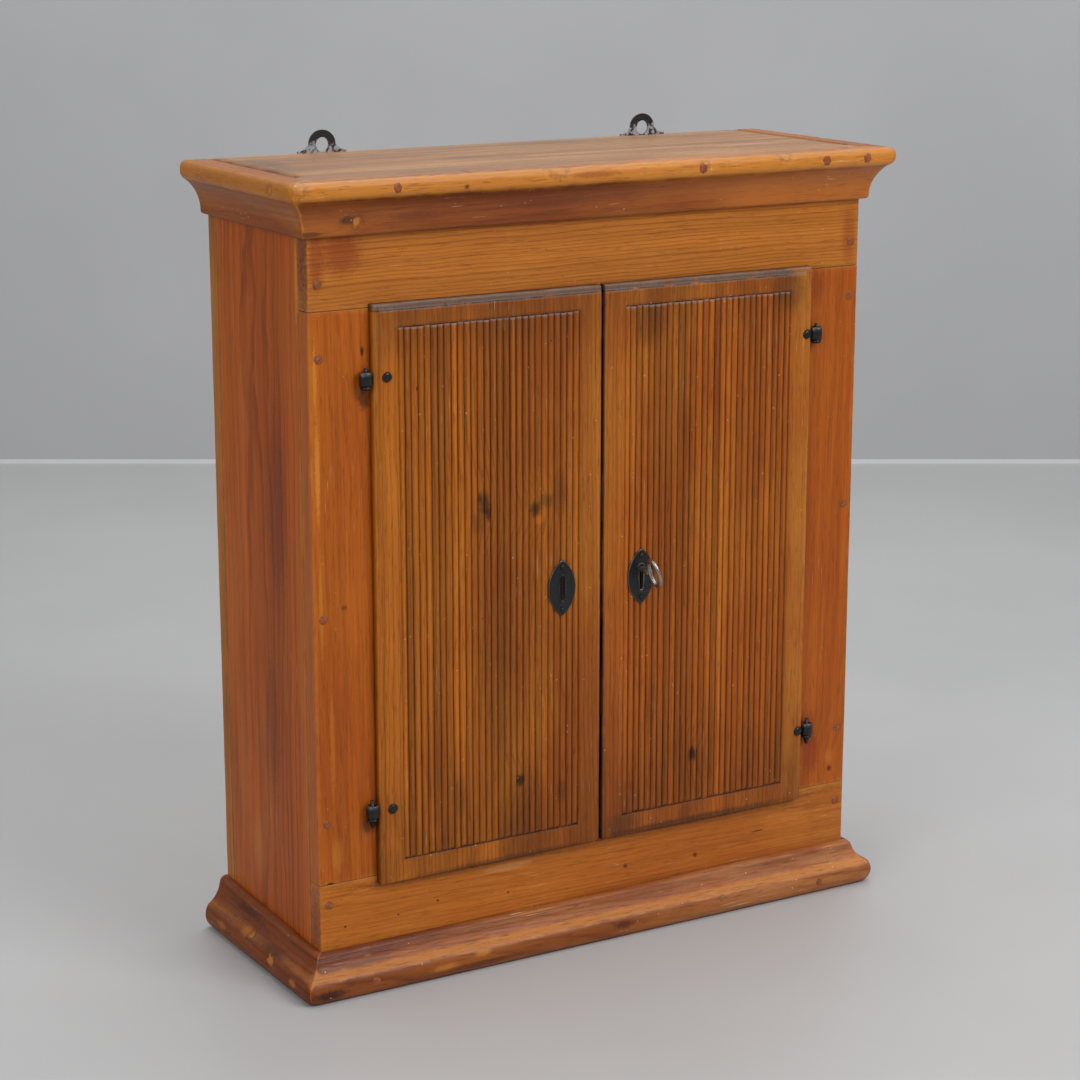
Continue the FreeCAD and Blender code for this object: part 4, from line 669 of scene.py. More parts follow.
# Mouldings: a profile run along the carcass and mitred at the front corners
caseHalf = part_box("side_right")[1].x
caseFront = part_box("top_rail")[0].y
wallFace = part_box("back_board_middle")[1].y
corniceLow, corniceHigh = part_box("cornice_front")
plinthLow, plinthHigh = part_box("plinth_front")
cornice = {"reach": caseFront - corniceLow.y, "tall": corniceHigh.z - corniceLow.z, "low": corniceLow.z,
           "nose": 9.8 * mm, "crown": 6.6 * mm, "chin": 8 * mm, "foot": 7.6 * mm, "round": 4 * mm,
           "wear": 0.8 * mm, "step": 4.5 * mm, "pivot": 0, "sag": 0, "seed": 41,
           "rubFrom": 0.62, "faceRub": 0.72, "creaseDirt": 0.75, "creaseVary": 0.25, "creaseNear": 0.2 * mm}
cornice["crease"] = cornice["tall"] - cornice["nose"] * (1 + math.sqrt(3) / 2)
plinth = {"reach": caseFront - plinthLow.y, "tall": plinthHigh.z, "low": 0,
          "round": 18.8 * mm, "middle": 13.8 * mm, "coveLow": 25.4 * mm, "coveHigh": 45.6 * mm,
          "coveFlat": 1.3, "neck": 9 * mm, "quirk": 0.4 * mm,
          "bead": 7 * mm, "lip": 0.6 * mm, "lift": 2 * mm, "wear": 0.7 * mm, "step": 7 * mm,
          "pivot": 20 * mm, "sag": 0.24, "seed": 47,  # above the pivot, the front run has sunk by this share
          "rubUp": 2 * mm, "rubReach": 10 * mm, "neckDirt": 0.45, "neckVary": 0.3, "neckReach": 5 * mm}
runWear = {"ends": 2.5 * mm, "mitreReach": 8 * mm, "mitrePull": 3 * mm, "mitreRub": 0.7, "mitreDirt": 0.85,
           "mitreLine": 0.5 * mm, "roughSize": 45 * mm, "fineSize": 12 * mm, "rough": 0.7, "fine": 0.25,
           "keep": 0.2 * mm, "tornReach": 1.1, "knockDirt": 0.6}  # no wear within keep of the carcass
knock = {"front": 46, "side": 18, "seed": 5, "from": -50, "sweep": 140,  # how many, and the turn in degrees
         "size": (2.5, 4), "depth": (0.25, 0.6)}  # least, and how much more at most, in mm


def arcBetween(start, stop, radius, side, count):  # side 1 bulges to the left of the way along
    start, stop = Vector(start), Vector(stop)
    chord = stop - start
    left = Vector((-chord.y, chord.x)).normalized()
    drop = math.sqrt(max(radius ** 2 - (chord.length / 2) ** 2, 0))
    centre = (start + stop) / 2 - left * drop * side
    first, last = start - centre, stop - centre
    sweep = first.angle_signed(last)
    return [centre + Matrix.Rotation(-sweep * part / count, 2) @ first for part in range(count + 1)]


def coveRadius(across, alongside):  # of an arc that starts along the second length
    return (across ** 2 + alongside ** 2) / (2 * abs(across))


def joinRuns(*runs):
    line = []
    for point in [Vector(point) for run in runs for point in run]:
        if not line or (point - line[-1]).length > tiny:
            line.append(point)
    return line


def flatRun(start, stop, count):
    return [Vector(start).lerp(Vector(stop), part / count) for part in range(count + 1)]


def corniceProfile(size):
    reach, tall, foot, heel, crown = (size[name] for name in ("reach", "tall", "foot", "round", "crown"))
    brow, chin = (reach - size["nose"] / 2, size["crease"]), (reach, size["crease"] + size["chin"])
    cove = coveRadius(brow[0] - foot, brow[1] - heel)
    return joinRuns(
        flatRun((0, 0), (foot - heel, 0), 2),
        arcBetween((foot - heel, 0), (foot, heel), heel, -1, 5),
        arcBetween((foot, heel), brow, cove, 1, 10),
        arcBetween(brow, chin, size["chin"], -1, 5),
        flatRun(chin, (reach, tall - crown), 3),
        arcBetween((reach, tall - crown), (reach - crown, tall), crown, -1, 5),
        flatRun((reach - crown, tall), (0, tall), 6))


def plinthProfile(size):
    def roundAt(up):
        return size["reach"] - size["round"] + math.sqrt(size["round"] ** 2 - (up - size["middle"]) ** 2), up
    foot, shoulder = roundAt(size["lift"]), roundAt(size["coveLow"])
    neck, bead = (size["neck"], size["coveHigh"]), (size["neck"] - size["quirk"], size["coveHigh"])
    lip = (size["lip"], size["tall"])
    cove = size["coveFlat"] * coveRadius(shoulder[0] - size["neck"], size["coveHigh"] - size["coveLow"])
    return joinRuns(
        flatRun((0, size["lift"]), foot, 3),
        arcBetween(foot, shoulder, size["round"], -1, 14),
        arcBetween(shoulder, neck, cove, 1, 8),
        flatRun(neck, bead, 1),
        arcBetween(bead, lip, size["bead"], -1, 6),
        flatRun(lip, (0, size["tall"]), 1))


def corniceRub(corner, share):  # share of the full reach
    worn = max(0, (share - cornice["rubFrom"]) / (1 - cornice["rubFrom"]))
    return worn * (cornice["faceRub"] if corner.y < cornice["tall"] - cornice["crown"] else 1)


def plinthRub(corner, share):  # along the shoulder
    return max(0, 1 - abs(corner.y - plinth["coveLow"] - plinth["rubUp"]) / plinth["rubReach"])


def corniceCreaseDark(corner, fine):  # darker in the crease under the nose
    inCrease = abs(corner.y - cornice["crease"]) < cornice["creaseNear"]
    return cornice["creaseDirt"] + cornice["creaseVary"] * fine if inCrease else 0


def plinthNeckDark(corner, fine):  # darker about the neck
    near = 1 - abs(corner.y - plinth["coveHigh"]) / plinth["neckReach"]
    return (plinth["neckDirt"] + plinth["neckVary"] * fine) * max(0, near)


def noseKnocks(place):  # centre, reach and depth in metres
    dice = np.random.default_rng(knock["seed"])
    found = []
    for along, turn, wide, deep in dice.random((knock["front" if place == "front" else "side"], 4)):
        angle = math.radians(knock["from"] + knock["sweep"] * turn)
        out = cornice["reach"] - cornice["nose"] * (1 - math.cos(angle))
        up = corniceHigh.z - cornice["nose"] * (1 - math.sin(angle))
        spot = Vector(((2 * along - 1) * caseHalf, caseFront - out, up))
        if place != "front":
            back = caseFront + along * (wallFace - caseFront)
            spot = Vector((sideWays[place] * (caseHalf + out), back, up))
        size, depth = [(start + more * part) * mm
                       for (start, more), part in ((knock["size"], wide), (knock["depth"], deep))]
        found.append((spot, size, depth))
    return found


def mouldingRun(name, profile, size, rub, dirt, place, chips, knocks):
    count, reach, seed, pivot = len(profile), size["reach"], size["seed"], size["pivot"]
    long = 2 * (caseHalf + reach) if place == "front" else wallFace - caseFront + reach
    stations = edgeLines(0, long, runWear["ends"], size["step"])
    ahead = [profile[(number + 1) % count] - profile[number - 1] for number in range(count)]
    normals = [Vector((step.y, -step.x)).normalized() for step in ahead]
    dents = [(Vector(centre) * mm, radius * mm, depth * mm, True) for centre, radius, depth in chips]
    dents += [(*found, False) for found in knocks]
    points, edges, bares, darknesses = [], [], [], []
    for station in stations:
        share = station / long
        fromMitre = min(station, long - station) if place == "front" else station
        pull = max(0, 1 - fromMitre / runWear["mitreReach"]) ** 2
        sag = size["sag"] * (1 if place == "front" else 1 - share)  # the sides fall to meet the front
        for corner, normal in zip(profile, normals):
            out, up = corner
            out -= pull * min(out, runWear["mitrePull"]) * (out / reach)
            up = pivot + (up - pivot) * (1 - sag) if up > pivot else up
            if place == "front":
                spot = Vector(((caseHalf + out) * (2 * share - 1), caseFront - out, size["low"] + up))
                facing = Vector((0, -normal.x, normal.y))
            else:
                along = (caseFront - out) + share * (wallFace - caseFront + out)
                spot = Vector((sideWays[place] * (caseHalf + out), along, size["low"] + up))
                facing = Vector((sideWays[place] * normal.x, 0, normal.y))
            rough = 0.5 + 0.5 * noise.noise(spot / runWear["roughSize"] + Vector((seed, 0, 0)))
            fine = noise.noise(spot / runWear["fineSize"] + Vector((0, seed, 0)))
            uneven = runWear["rough"] * rough + runWear["fine"] * fine
            dent = size["wear"] * uneven * (out / reach) if out > runWear["keep"] else 0
            bare = 0
            darkness = max(runWear["mitreDirt"] if fromMitre < runWear["mitreLine"] else 0, dirt(corner, fine))
            for centre, radius, depth, torn in dents:
                apart = (spot - centre).length / radius
                dent += depth * max(0, 1 - apart ** 2)
                if torn:
                    bare = max(bare, runWear["tornReach"] - apart)
                else:
                    darkness = max(darkness, runWear["knockDirt"] * (1 - apart))
            points.append(spot - facing * dent)
            edges.append(min(1, rub(corner, out / reach) + runWear["mitreRub"] * pull))
            bares.append(min(1, bare))
            darknesses.append(darkness)
    piece = newPiece(name, points, ringFaces(count, len(stations), place == "left"))
    worked = bmesh.new()
    worked.from_mesh(piece.data)
    bmesh.ops.recalc_face_normals(worked, faces=worked.faces)
    bmesh.ops.triangulate(worked, faces=[face for face in worked.faces if len(face.verts) > 4])
    worked.to_mesh(piece.data)
    worked.free()
    writeValues(piece, edge=edges, bare=bares, groove=darknesses)
    return piece


sideWays = {"left": -1, "right": 1}
chips = {  # centre, reach and depth in mm
    "cornice": {"front": [((-264, -98, 750), 10, 1.3), ((104, -115, 784), 9, 1.6),
                          ((-60, -110, 790), 18, 1.2), ((200, -112, 789), 12, 1), ((-330, -113, 784), 12, 1)],
                "left": [((-325, -3, 756), 4, 1), ((-339, -70, 781), 9, 1)],
                "right": [((340, 20, 781), 8, 1)]},
    "plinth": {"front": [((-293, -112, 18), 6, 0.8), ((140, -111, 20), 7, 0.8)],
               "left": [((-337, -22, 18), 13, 1.8), ((-334, 31, 28), 11, 1.5), ((-337, 75, 14), 7, 1.2)],
               "right": [((337, 40, 16), 8, 1.2)]},
}
runs = {"cornice": (corniceProfile(cornice), cornice, corniceRub, corniceCreaseDark),
        "plinth": (plinthProfile(plinth), plinth, plinthRub, plinthNeckDark)}
for place in ("front", "left", "right"):
    for kind, made in runs.items():
        nodeName = "%s_%s" % (kind, place)
        knocks = noseKnocks(place) if kind == "cornice" else []
        piece = mouldingRun(nodeName + "_worn", *made, place, chips[kind][place], knocks)
        dress(piece, "cabinet", pine[kind if place == "front" else kind + "Side"], "pine_" + kind, nodeName)
print("mouldings made")


# Geometry Nodes: one tree sets out the reeds of a door, one sets studs on points
def bakeTree(name, tree, host, **settings):
    helper = bpy.data.objects.new(name + "_host", host)
    sceneRoot.collection.objects.link(helper)
    modifier = helper.modifiers.new("nodes", "NODES")
    modifier.node_group = tree
    sockets = {item.name: item.identifier for item in tree.interface.items_tree if item.in_out == "INPUT"}
    for label, setting in settings.items():
        modifier[sockets[label]] = setting
    bpy.context.view_layer.update()
    mesh = bpy.data.meshes.new_from_object(helper.evaluated_get(bpy.context.evaluated_depsgraph_get()))
    helper.modifiers.remove(modifier)
    bpy.data.objects.remove(helper)
    mesh.name = name
    piece = bpy.data.objects.new(name, mesh)
    sceneRoot.collection.objects.link(piece)
    return piece


def randomValue(tree, low, high, seed):
    return put(tree, "FunctionNodeRandomValue", {2: low, 3: high, "Seed": seed}, data_type="FLOAT").outputs[1]


def objectShape(tree, source):
    return put(tree, "GeometryNodeObjectInfo", {"Object": source}).outputs["Geometry"]


def shiftPoints(tree, geometry, offset):
    return put(tree, "GeometryNodeSetPosition", {"Geometry": geometry, "Offset": offset}).outputs[0]


def realize(tree, instances):
    return put(tree, "GeometryNodeRealizeInstances", {0: instances}).outputs[0]


def coat(tree, geometry, material):
    return put(tree, "GeometryNodeSetMaterial", {"Geometry": geometry, "Material": material}).outputs[0]


reedVary = {"narrow": (0.9, 0.9, 1), "wide": (1.04, 1.06, 1), "tint": (-0.2, 0.18), "nickShare": 0.6,
            "drift": (60, 60, 9), "nicks": (160, 160, 70), "rub": (150, 0, 26)}  # noise scales


def makeReedTree():
    tree, given, result = newGroup("GeometryNodeTree", "reedField", [
        ("Geometry", "Geometry"), ("Reed", "Object"), ("Count", "Int", 28), ("First", "Vector"),
        ("Pitch", "Float", 0.007), ("Wander", "Float", 0.0004), ("Wear", "Float", 0.0005),
        ("Stagger", "Float", 0.001), ("Seed", "Int", 1), ("Wood", "Material")], [("Geometry", "Geometry")])
    seed = given["Seed"]
    line = {"Count": given["Count"], "Start Location": given["First"], "Offset": join(tree, X=given["Pitch"])}
    row = put(tree, "GeometryNodeMeshLine", line, mode="OFFSET").outputs["Mesh"]
    rise = randomValue(tree, 0, given["Stagger"], calc(tree, "ADD", seed, 3))
    row = shiftPoints(tree, row, join(tree, Z=rise))
    sizes = {0: reedVary["narrow"], 1: reedVary["wide"], "Seed": seed}
    width = put(tree, "FunctionNodeRandomValue", sizes, data_type="FLOAT_VECTOR").outputs[0]
    setOut = {"Points": row, "Instance": objectShape(tree, given["Reed"]), "Scale": width}
    reeds = put(tree, "GeometryNodeInstanceOnPoints", setOut).outputs[0]
    tint = {"Geometry": reeds, "Name": "tone", "Value": randomValue(tree, *reedVary["tint"], seed)}
    tinted = put(tree, "GeometryNodeStoreNamedAttribute", tint, data_type="FLOAT", domain="INSTANCE")
    reeds = realize(tree, tinted.outputs[0])
    where = put(tree, "GeometryNodeInputPosition").outputs[0]

    def reedNoise(name):
        feeds = {"Vector": stretch(tree, where, reedVary[name]), "W": seed, "Scale": 1}
        return put(tree, "ShaderNodeTexNoise", feeds, noise_dimensions="4D").outputs["Fac"]

    aside = scaleAdd(tree, minus(tree, reedNoise("nicks"), 0.5), reedVary["nickShare"], reedNoise("drift"))
    aside = times(tree, minus(tree, aside, 0.5), given["Wander"])
    groove = put(tree, "GeometryNodeInputNamedAttribute", {"Name": "groove"}, data_type="FLOAT").outputs[0]
    crown = minus(tree, 1, groove)  # crowns wear most
    inward = times(tree, times(tree, reedNoise("rub"), given["Wear"]), crown)
    reeds = shiftPoints(tree, reeds, join(tree, X=aside, Y=inward))
    feed(tree, result["Geometry"], coat(tree, reeds, given["Wood"]))
    return tree


def makeStudTree():  # the host mesh's points each get a stud that faces the given way
    tree, given, result = newGroup("GeometryNodeTree", "studsOnPoints", [
        ("Geometry", "Geometry"), ("Stud", "Object"), ("Facing", "Rotation"), ("Spin", "Float", 3.1),
        ("Uneven", "Float", 0.08), ("Seed", "Int", 1), ("Finish", "Material")], [("Geometry", "Geometry")])
    size = randomValue(tree, minus(tree, 1, given["Uneven"]), 1, given["Seed"])
    setOut = {"Points": given["Geometry"], "Instance": objectShape(tree, given["Stud"]),
              "Rotation": given["Facing"], "Scale": size}
    studs = put(tree, "GeometryNodeInstanceOnPoints", setOut).outputs[0]
    spin = join(tree, Z=randomValue(tree, 0, given["Spin"], given["Seed"]))
    studs = put(tree, "GeometryNodeRotateInstances", {"Instances": studs, "Rotation": spin}).outputs[0]
    feed(tree, result["Geometry"], coat(tree, realize(tree, studs), given["Finish"]))
    return tree


reedTree = makeReedTree()
studTree = makeStudTree()

# Doors: a lipped board with a sunk field, and reeds that fill the field
door = {"round": 4 * mm, "lipSide": 10 * mm, "lipLow": 9 * mm, "lipHigh": 6 * mm, "lipThick": 8.5 * mm,
        "meetReach": 0.1 * mm, "meetSharp": 2.7 * mm, "footSharp": 2.2 * mm, "borderHinge": 26 * mm,
        "borderMeet": 23.7 * mm, "borderHigh": 23 * mm, "borderLow": 21.5 * mm, "fieldWall": 0.25 * mm,
        "filletWide": 6.4 * mm, "filletDeep": 0.6 * mm, "filletWall": 0.3 * mm, "step": 16 * mm,
        # the next three numbers set painted shade on the lip faces, just under the field's top and on the
        # meeting edge
        "rimShade": 0.4, "ledgeShade": 0.1, "meetShade": 1.6, "seed": 61}
reed = {"count": 28, "depth": 2.5 * mm, "overlap": 1.02, "endSlope": 2.8 * mm, "stagger": 1.3 * mm,
        "rows": 44, "rises": (0, 0.25, 0.6, 1),
        "across": (-1, -0.88, -0.7, -0.46, -0.22, 0, 0.22, 0.46, 0.7, 0.88, 1),
        "bulge": 0.8, "endHold": 0.5, "endCurve": 1.5,  # the rounding, and how the ends are cut back
        # darker toward the grooves, with painted shade along the foot
        "dirt": 0.9, "darkCurve": 1.8, "footShade": 0.8,
        "root": 0.3 * mm, "wander": 1.1 * mm, "wear": 1 * mm, "seed": 5}


def doorBoard(name, low, high, hingeSide):
    low, high = low.copy(), high.copy()
    hingedLeft = hingeSide < 0
    (high if hingedLeft else low).x -= hingeSide * door["meetReach"]
    borders, sharp = [door["borderHinge"], door["borderMeet"]], [0, door["meetSharp"]]
    lips = [door["lipSide"], 0]
    if not hingedLeft:
        borders, sharp, lips = borders[::-1], sharp[::-1], lips[::-1]
    wall, wide = door["fieldWall"], door["filletWide"]
    field = (low.x + borders[0], high.x - borders[1], low.z + door["borderLow"], high.z - door["borderHigh"])
    brink = [wide, wide + door["filletWall"]]
    extraX = [field[0], field[0] + wall, field[1] - wall, field[1]]
    extraX += [low.x + part for part in brink] + [high.x - part for part in brink]
    extraZ = [field[2] - 2 * wall, field[2], field[2] + wall, field[3] - wall, field[3]]
    extraZ += [low.z + part for part in brink] + [high.z - part for part in brink]
    linesX = edgeLines(low.x, high.x, door["round"], door["step"], extraX)
    linesZ = edgeLines(low.z, high.z, door["round"], door["step"], extraZ)
    countX, countZ = len(linesX), len(linesZ)
    meetColumn = countX - 1 if hingedLeft else 0
    flat = np.array([[x, low.y, z] for z in linesZ for x in linesX])
    begin = (low.x - sharp[0], low.y, low.z - door["footSharp"])
    end = (high.x + sharp[1], low.y + 4 * door["round"], high.z)
    rounded, near = roundBox(flat, begin, end, door["round"], door["seed"] + hingeSide)
    points, edges, dirtAndShade, faces = [], [], [], []
    for index, ((x, y, z), spot) in enumerate(zip(flat, rounded)):
        between = field[0] + wall / 2 < x < field[1] - wall / 2
        inField = between and field[2] + wall / 2 < z < field[3] - wall / 2
        underField = abs(z - field[2]) < tiny and field[0] - tiny < x < field[1] + tiny
        toRim = min(x - low.x if hingedLeft else high.x - x, high.z - z)
        sunk = door["filletDeep"] if toRim < wide + door["filletWall"] / 3 else 0
        points.append((spot[0], low.y + reed["depth"] if inField else spot[1] + sunk, spot[2]))
        edges.append(0 if inField else near[index])
        # painted shade in the sunk field, along the scribed line at its foot and on the meeting edge; little
        # of it just under the field's top, where the reed ends catch the light
        dirt = 1 if inField or underField else door["meetShade"] if index % countX == meetColumn else 0
        dirtAndShade.append(door["ledgeShade"] if inField and z > field[3] - 1.5 * wall else dirt)

    def spread(index, rectangle):  # a place in the grid, fitted to another rectangle
        row, column = divmod(index, countX)
        x = rectangle[0] + (linesX[column] - low.x) / (high.x - low.x) * (rectangle[1] - rectangle[0])
        z = rectangle[2] + (linesZ[row] - low.z) / (high.z - low.z) * (rectangle[3] - rectangle[2])
        return x, z

    def addPoint(index, rectangle, depth, dirt):
        x, z = spread(index, rectangle)
        points.append((x, depth, z))
        edges.append(0)
        dirtAndShade.append(dirt if index % countX == meetColumn else door["rimShade"] * dirt)
        return len(points) - 1

    rim = list(range(countX))
    rim += [row * countX + countX - 1 for row in range(1, countZ)]
    rim += [(countZ - 1) * countX + column for column in range(countX - 2, -1, -1)]
    rim += [row * countX for row in range(countZ - 2, 0, -1)]
    outer = (low.x, high.x, low.z, high.z)
    tongue = (low.x + lips[0], high.x - lips[1], low.z + door["lipLow"], high.z - door["lipHigh"])
    lipBack = low.y + door["lipThick"]
    loops = [rim]
    # painted shade on the lip's edge faces and its back, darkest on the outer faces and full on the meeting
    # side
    for rectangle, depth, dirt in ((outer, lipBack, 2), (tongue, lipBack, 1), (tongue, high.y, 0)):
        loops.append([addPoint(index, rectangle, depth, dirt) for index in rim])
    for first, second in zip(loops, loops[1:]):
        for place in range(len(rim)):
            following = (place + 1) % len(rim)
            faces.append((first[place], second[place], second[following], first[following]))
    back = dict(zip(rim, loops[3]))
    for index in range(countX * countZ):
        if index not in back:
            back[index] = addPoint(index, tongue, high.y, 0)
    for row in range(countZ - 1):
        for start in range(row * countX, row * countX + countX - 1):
            quad = (start, start + 1, start + countX + 1, start + countX)
            faces.append(quad)
            faces.append([back[index] for index in quad[::-1]])
    piece = newPiece(name, points, faces)
    writeValues(piece, edge=edges, groove=dirtAndShade)
    return piece, field


def reedShape(name, width, tall):  # a rounded bar from 0 up, both ends cut back to a scribed line
    depth, slope = reed["depth"], reed["endSlope"]
    rises = [slope * share for share in reed["rises"]]
    between = [slope + (tall - 2 * slope) * part / reed["rows"] for part in range(1, reed["rows"])]
    heights = rises + between + [tall - part for part in rises[::-1]]
    points, grooves, dusts = [], [], []
    for height in heights:
        share = min(1, height / slope, (tall - height) / slope)
        upper = height > tall / 2
        for part in reed["across"]:
            swell = max(0, math.cos(math.pi * part / 2)) ** reed["bulge"]
            held = reed["endHold"] * (1 - share) ** reed["endCurve"]
            proud = min(max(swell, held), reed["endHold"] + (1 - reed["endHold"]) * share)
            points.append((part * width / 2, -depth * proud, height))
            # darker toward the grooves, with painted shade along the foot
            dark = reed["dirt"] * (1 - swell) ** reed["darkCurve"]
            grooves.append(dark * share if upper else max(dark, reed["footShade"] * (1 - share)))
            dusts.append(1 - share if upper else 0)
        points.append((0, reed["root"], height))
        grooves.append(1)
        dusts.append(0)
    piece = newPiece(name, points, ringFaces(len(reed["across"]) + 1, len(heights)))
    writeValues(piece, groove=grooves, settled=dusts)
    return piece


emptyHost = bpy.data.meshes.new("emptyHost")
for side, hingeSide in sideWays.items():
    nodeName, wood = "door_" + side, pine["door" + side.capitalize()]
    low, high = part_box(nodeName)
    piece, field = doorBoard(nodeName + "_board", low, high, hingeSide)
    dress(piece, nodeName, wood, "pine_door", nodeName)
    pitch = (field[1] - field[0]) / reed["count"]
    pattern = reedShape("reed_pattern", pitch * reed["overlap"], field[3] - field[2] - reed["stagger"])
    first = (field[0] + pitch / 2, low.y + reed["depth"], field[2])
    reeds = bakeTree(nodeName + "_reeds", reedTree, emptyHost, Reed=pattern, Count=reed["count"], First=first,
                     Pitch=pitch, Wander=reed["wander"], Wear=reed["wear"], Stagger=reed["stagger"],
                     Seed=reed["seed"] + hingeSide, Wood=wood)
    bpy.data.objects.remove(pattern)
    reeds.data.polygons.foreach_set("use_smooth", [True] * len(reeds.data.polygons))
    dress(reeds, nodeName, wood, "pine_door")
print("doors made")


# Studs: pegs and nails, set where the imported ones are
def latheShape(line, count, ragged, seed):  # line of (radius, height) in mm from the foot to the crown
    points = []
    for radius, height in line:
        for part in range(count):
            turn = 2 * math.pi * part / count
            x, y = math.cos(turn), math.sin(turn)
            wide = radius * mm * (1 + ragged * noise.noise(Vector((x, y, seed * 2.7))))
            points.append((wide * x, wide * y, height * mm))
    return points, ringFaces(count, len(line))


def headPlaces(nodeName, way):  # middle of each solid of a node, at its front or back end
    worked = bmesh.new()
    worked.from_mesh(nodes[nodeName].data)
    bmesh.ops.remove_doubles(worked, verts=worked.verts, dist=tiny)
    left, found = set(worked.verts), []
    while left:
        queue, island = [left.pop()], []
        while queue:
            vertex = queue.pop()
            island.append(vertex.co.copy())
            for edge in vertex.link_edges:
                other = edge.other_vert(vertex)
                if other in left:
                    left.remove(other)
                    queue.append(other)
        lowest = [min(point[axis] for point in island) for axis in range(3)]
        highest = [max(point[axis] for point in island) for axis in range(3)]
        middle = [(a + b) / 2 for a, b in zip(lowest, highest)]
        middle[1] = highest[1] if way > 0 else lowest[1]
        found.append(tuple(middle))
    worked.free()
    return sorted(found)


studs = {  # sides, then radius and height in mm, heads at 0
    "peg": (14, [(4.3, -30), (4.5, -1), (4.5, -0.35), (3.9, -0.05), (2.2, 0.12)]),
    "nosePeg": (6, [(5.2, -26), (5.4, -2), (5.4, -0.6), (4.9, -0.1), (2.6, 0.1)]),
    "hingeNail": (12, [(1.6, -9.2), (1.6, -2.2), (5.2, -2.2), (5.3, -1.7), (4.6, -0.6), (2.6, 0)]),
    "plateNail": (10, [(0.9, -8), (0.9, -1), (2.8, -1), (2.7, -0.3), (1.9, 0.5), (0.7, 0.8)]),
    "backNail": (10, [(1.4, -38), (1.4, -1.5), (3.4, -1.5), (3.5, -0.6), (2.8, 0), (1.2, 0.15)]),
}
studRagged = 0.15
toFront, toBack = -1, 1
pegFinish, nailFinish = (pine["peg"], "peg_wood"), (iron["black"], "black_iron")
studSets = [  # node, body, pattern, way the heads face, finish, seed
    ("frame_pegs", "cabinet", "peg", toFront, pegFinish, 11),
    ("plinth_pegs", "cabinet", "peg", toFront, pegFinish, 12),
    ("cornice_pegs", "cabinet", "nosePeg", toFront, pegFinish, 13),
    ("hinge_nails_left", "door_left", "hingeNail", toFront, nailFinish, 21),
    ("escutcheon_nails_left", "door_left", "plateNail", toFront, nailFinish, 23),
    ("hinge_nails_right", "door_right", "hingeNail", toFront, nailFinish, 21),
    ("escutcheon_nails_right", "door_right", "plateNail", toFront, nailFinish, 23),
    ("back_nails", "cabinet", "backNail", toBack, (iron["nail"], "nail_iron"), 27),
]
patterns = {name: newPiece(name + "_pattern", *latheShape(line, sides, studRagged, seed))
            for seed, (name, (sides, line)) in enumerate(studs.items(), 3)}
for nodeName, body, stud, way, finish, seed in studSets:
    host = bpy.data.meshes.new(nodeName + "_points")
    host.from_pydata(headPlaces(nodeName, way), [], [])
    facing = (-way * math.pi / 2, 0, 0)
    piece = bakeTree(nodeName + "_set", studTree, host, Stud=patterns[stud], Facing=facing, Seed=seed,
                     Finish=finish[0])
    piece.data.polygons.foreach_set("use_smooth", [len(face.vertices) == 4 for face in piece.data.polygons])
    dress(piece, body, *finish, nodeName)
for pattern in patterns.values():
    bpy.data.objects.remove(pattern)
print("pegs and nails made")


# Hinges: a forged eye on the door, turning on a pin that is driven into the stile
hinge = {"barrel": [(2.5, -6.4), (5.5, -6.5), (6.2, -5.7), (6.3, 0), (6.2, 5.3), (5.8, 6.3), (5, 6.5),
                    (2.5, 5.9)],  # radius and height in mm, as are the pins below
         "lower": [(0.7, -17), (2.2, -14.4), (3.6, -9.6), (5.2, -9), (5.2, -7.2), (2.4, -7), (2.4, 6),
                   (1.9, 6.2), (1.9, 10.9), (1.3, 11.6)],  # with a pointed foot
         "upper": [(2.2, -10.8), (4.4, -10.3), (5.2, -9.2), (5.2, -7.2), (2.4, -7), (2.4, 6),
                   (1.9, 6.2), (1.9, 9.2), (1.3, 9.8)],
         "barrelSides": 16, "pinSides": 12, "barrelRagged": 0.16, "pinRagged": 0.1, "axis": 6 * mm,
         "rubbedRows": range(4, 7), "rubbed": 0.9, "dull": 0.25, "pinDull": 0.3,
         "leaf": (3 * mm, 0.6 * mm, 2.4 * mm, 5 * mm),  # from the axis: start, front, back, half height
         "tang": (2 * mm, 9 * mm, 7.4 * mm),  # half width, then how far its foot and its top are below
         "leafRound": 0.5 * mm, "tangRound": 0.4 * mm, "leafSeed": 3, "tangSeed": 5,
         "step": 6 * mm, "dents": 0.1 * mm, "dentSize": 6 * mm, "edge": 1.5}


def mergeShapes(name, *shapes):
    points, faces, edges = [], [], []
    for shapePoints, shapeFaces, shapeEdges in shapes:
        faces += [tuple(index + len(points) for index in face) for face in shapeFaces]
        points += [tuple(point) for point in shapePoints]
        edges += list(shapeEdges)
    piece = newPiece(name, points, faces)
    writeValues(piece, edge=edges)
    return piece


def forgedBox(low, high, rounding, seed):
    flat, faces = boxSurface([edgeLines(low[axis], high[axis], rounding, hinge["step"]) for axis in range(3)])
    shaped = roundBox(flat, low, high, rounding, seed)[0]
    away = directions(shaped - (np.array(low) + np.array(high)) / 2)
    shaped = shaped + away * (hinge["dents"] * waves(flat, hinge["dentSize"], seed))[:, None]
    return shaped, faces, np.clip(1 - edgeGaps(flat, low, high) / (hinge["edge"] * rounding), 0, 1)


def forgedRound(line, sides, ragged, seed, middle):
    points, faces = latheShape(hinge[line], sides, ragged, seed)
    return [Vector(point) + middle for point in points], faces


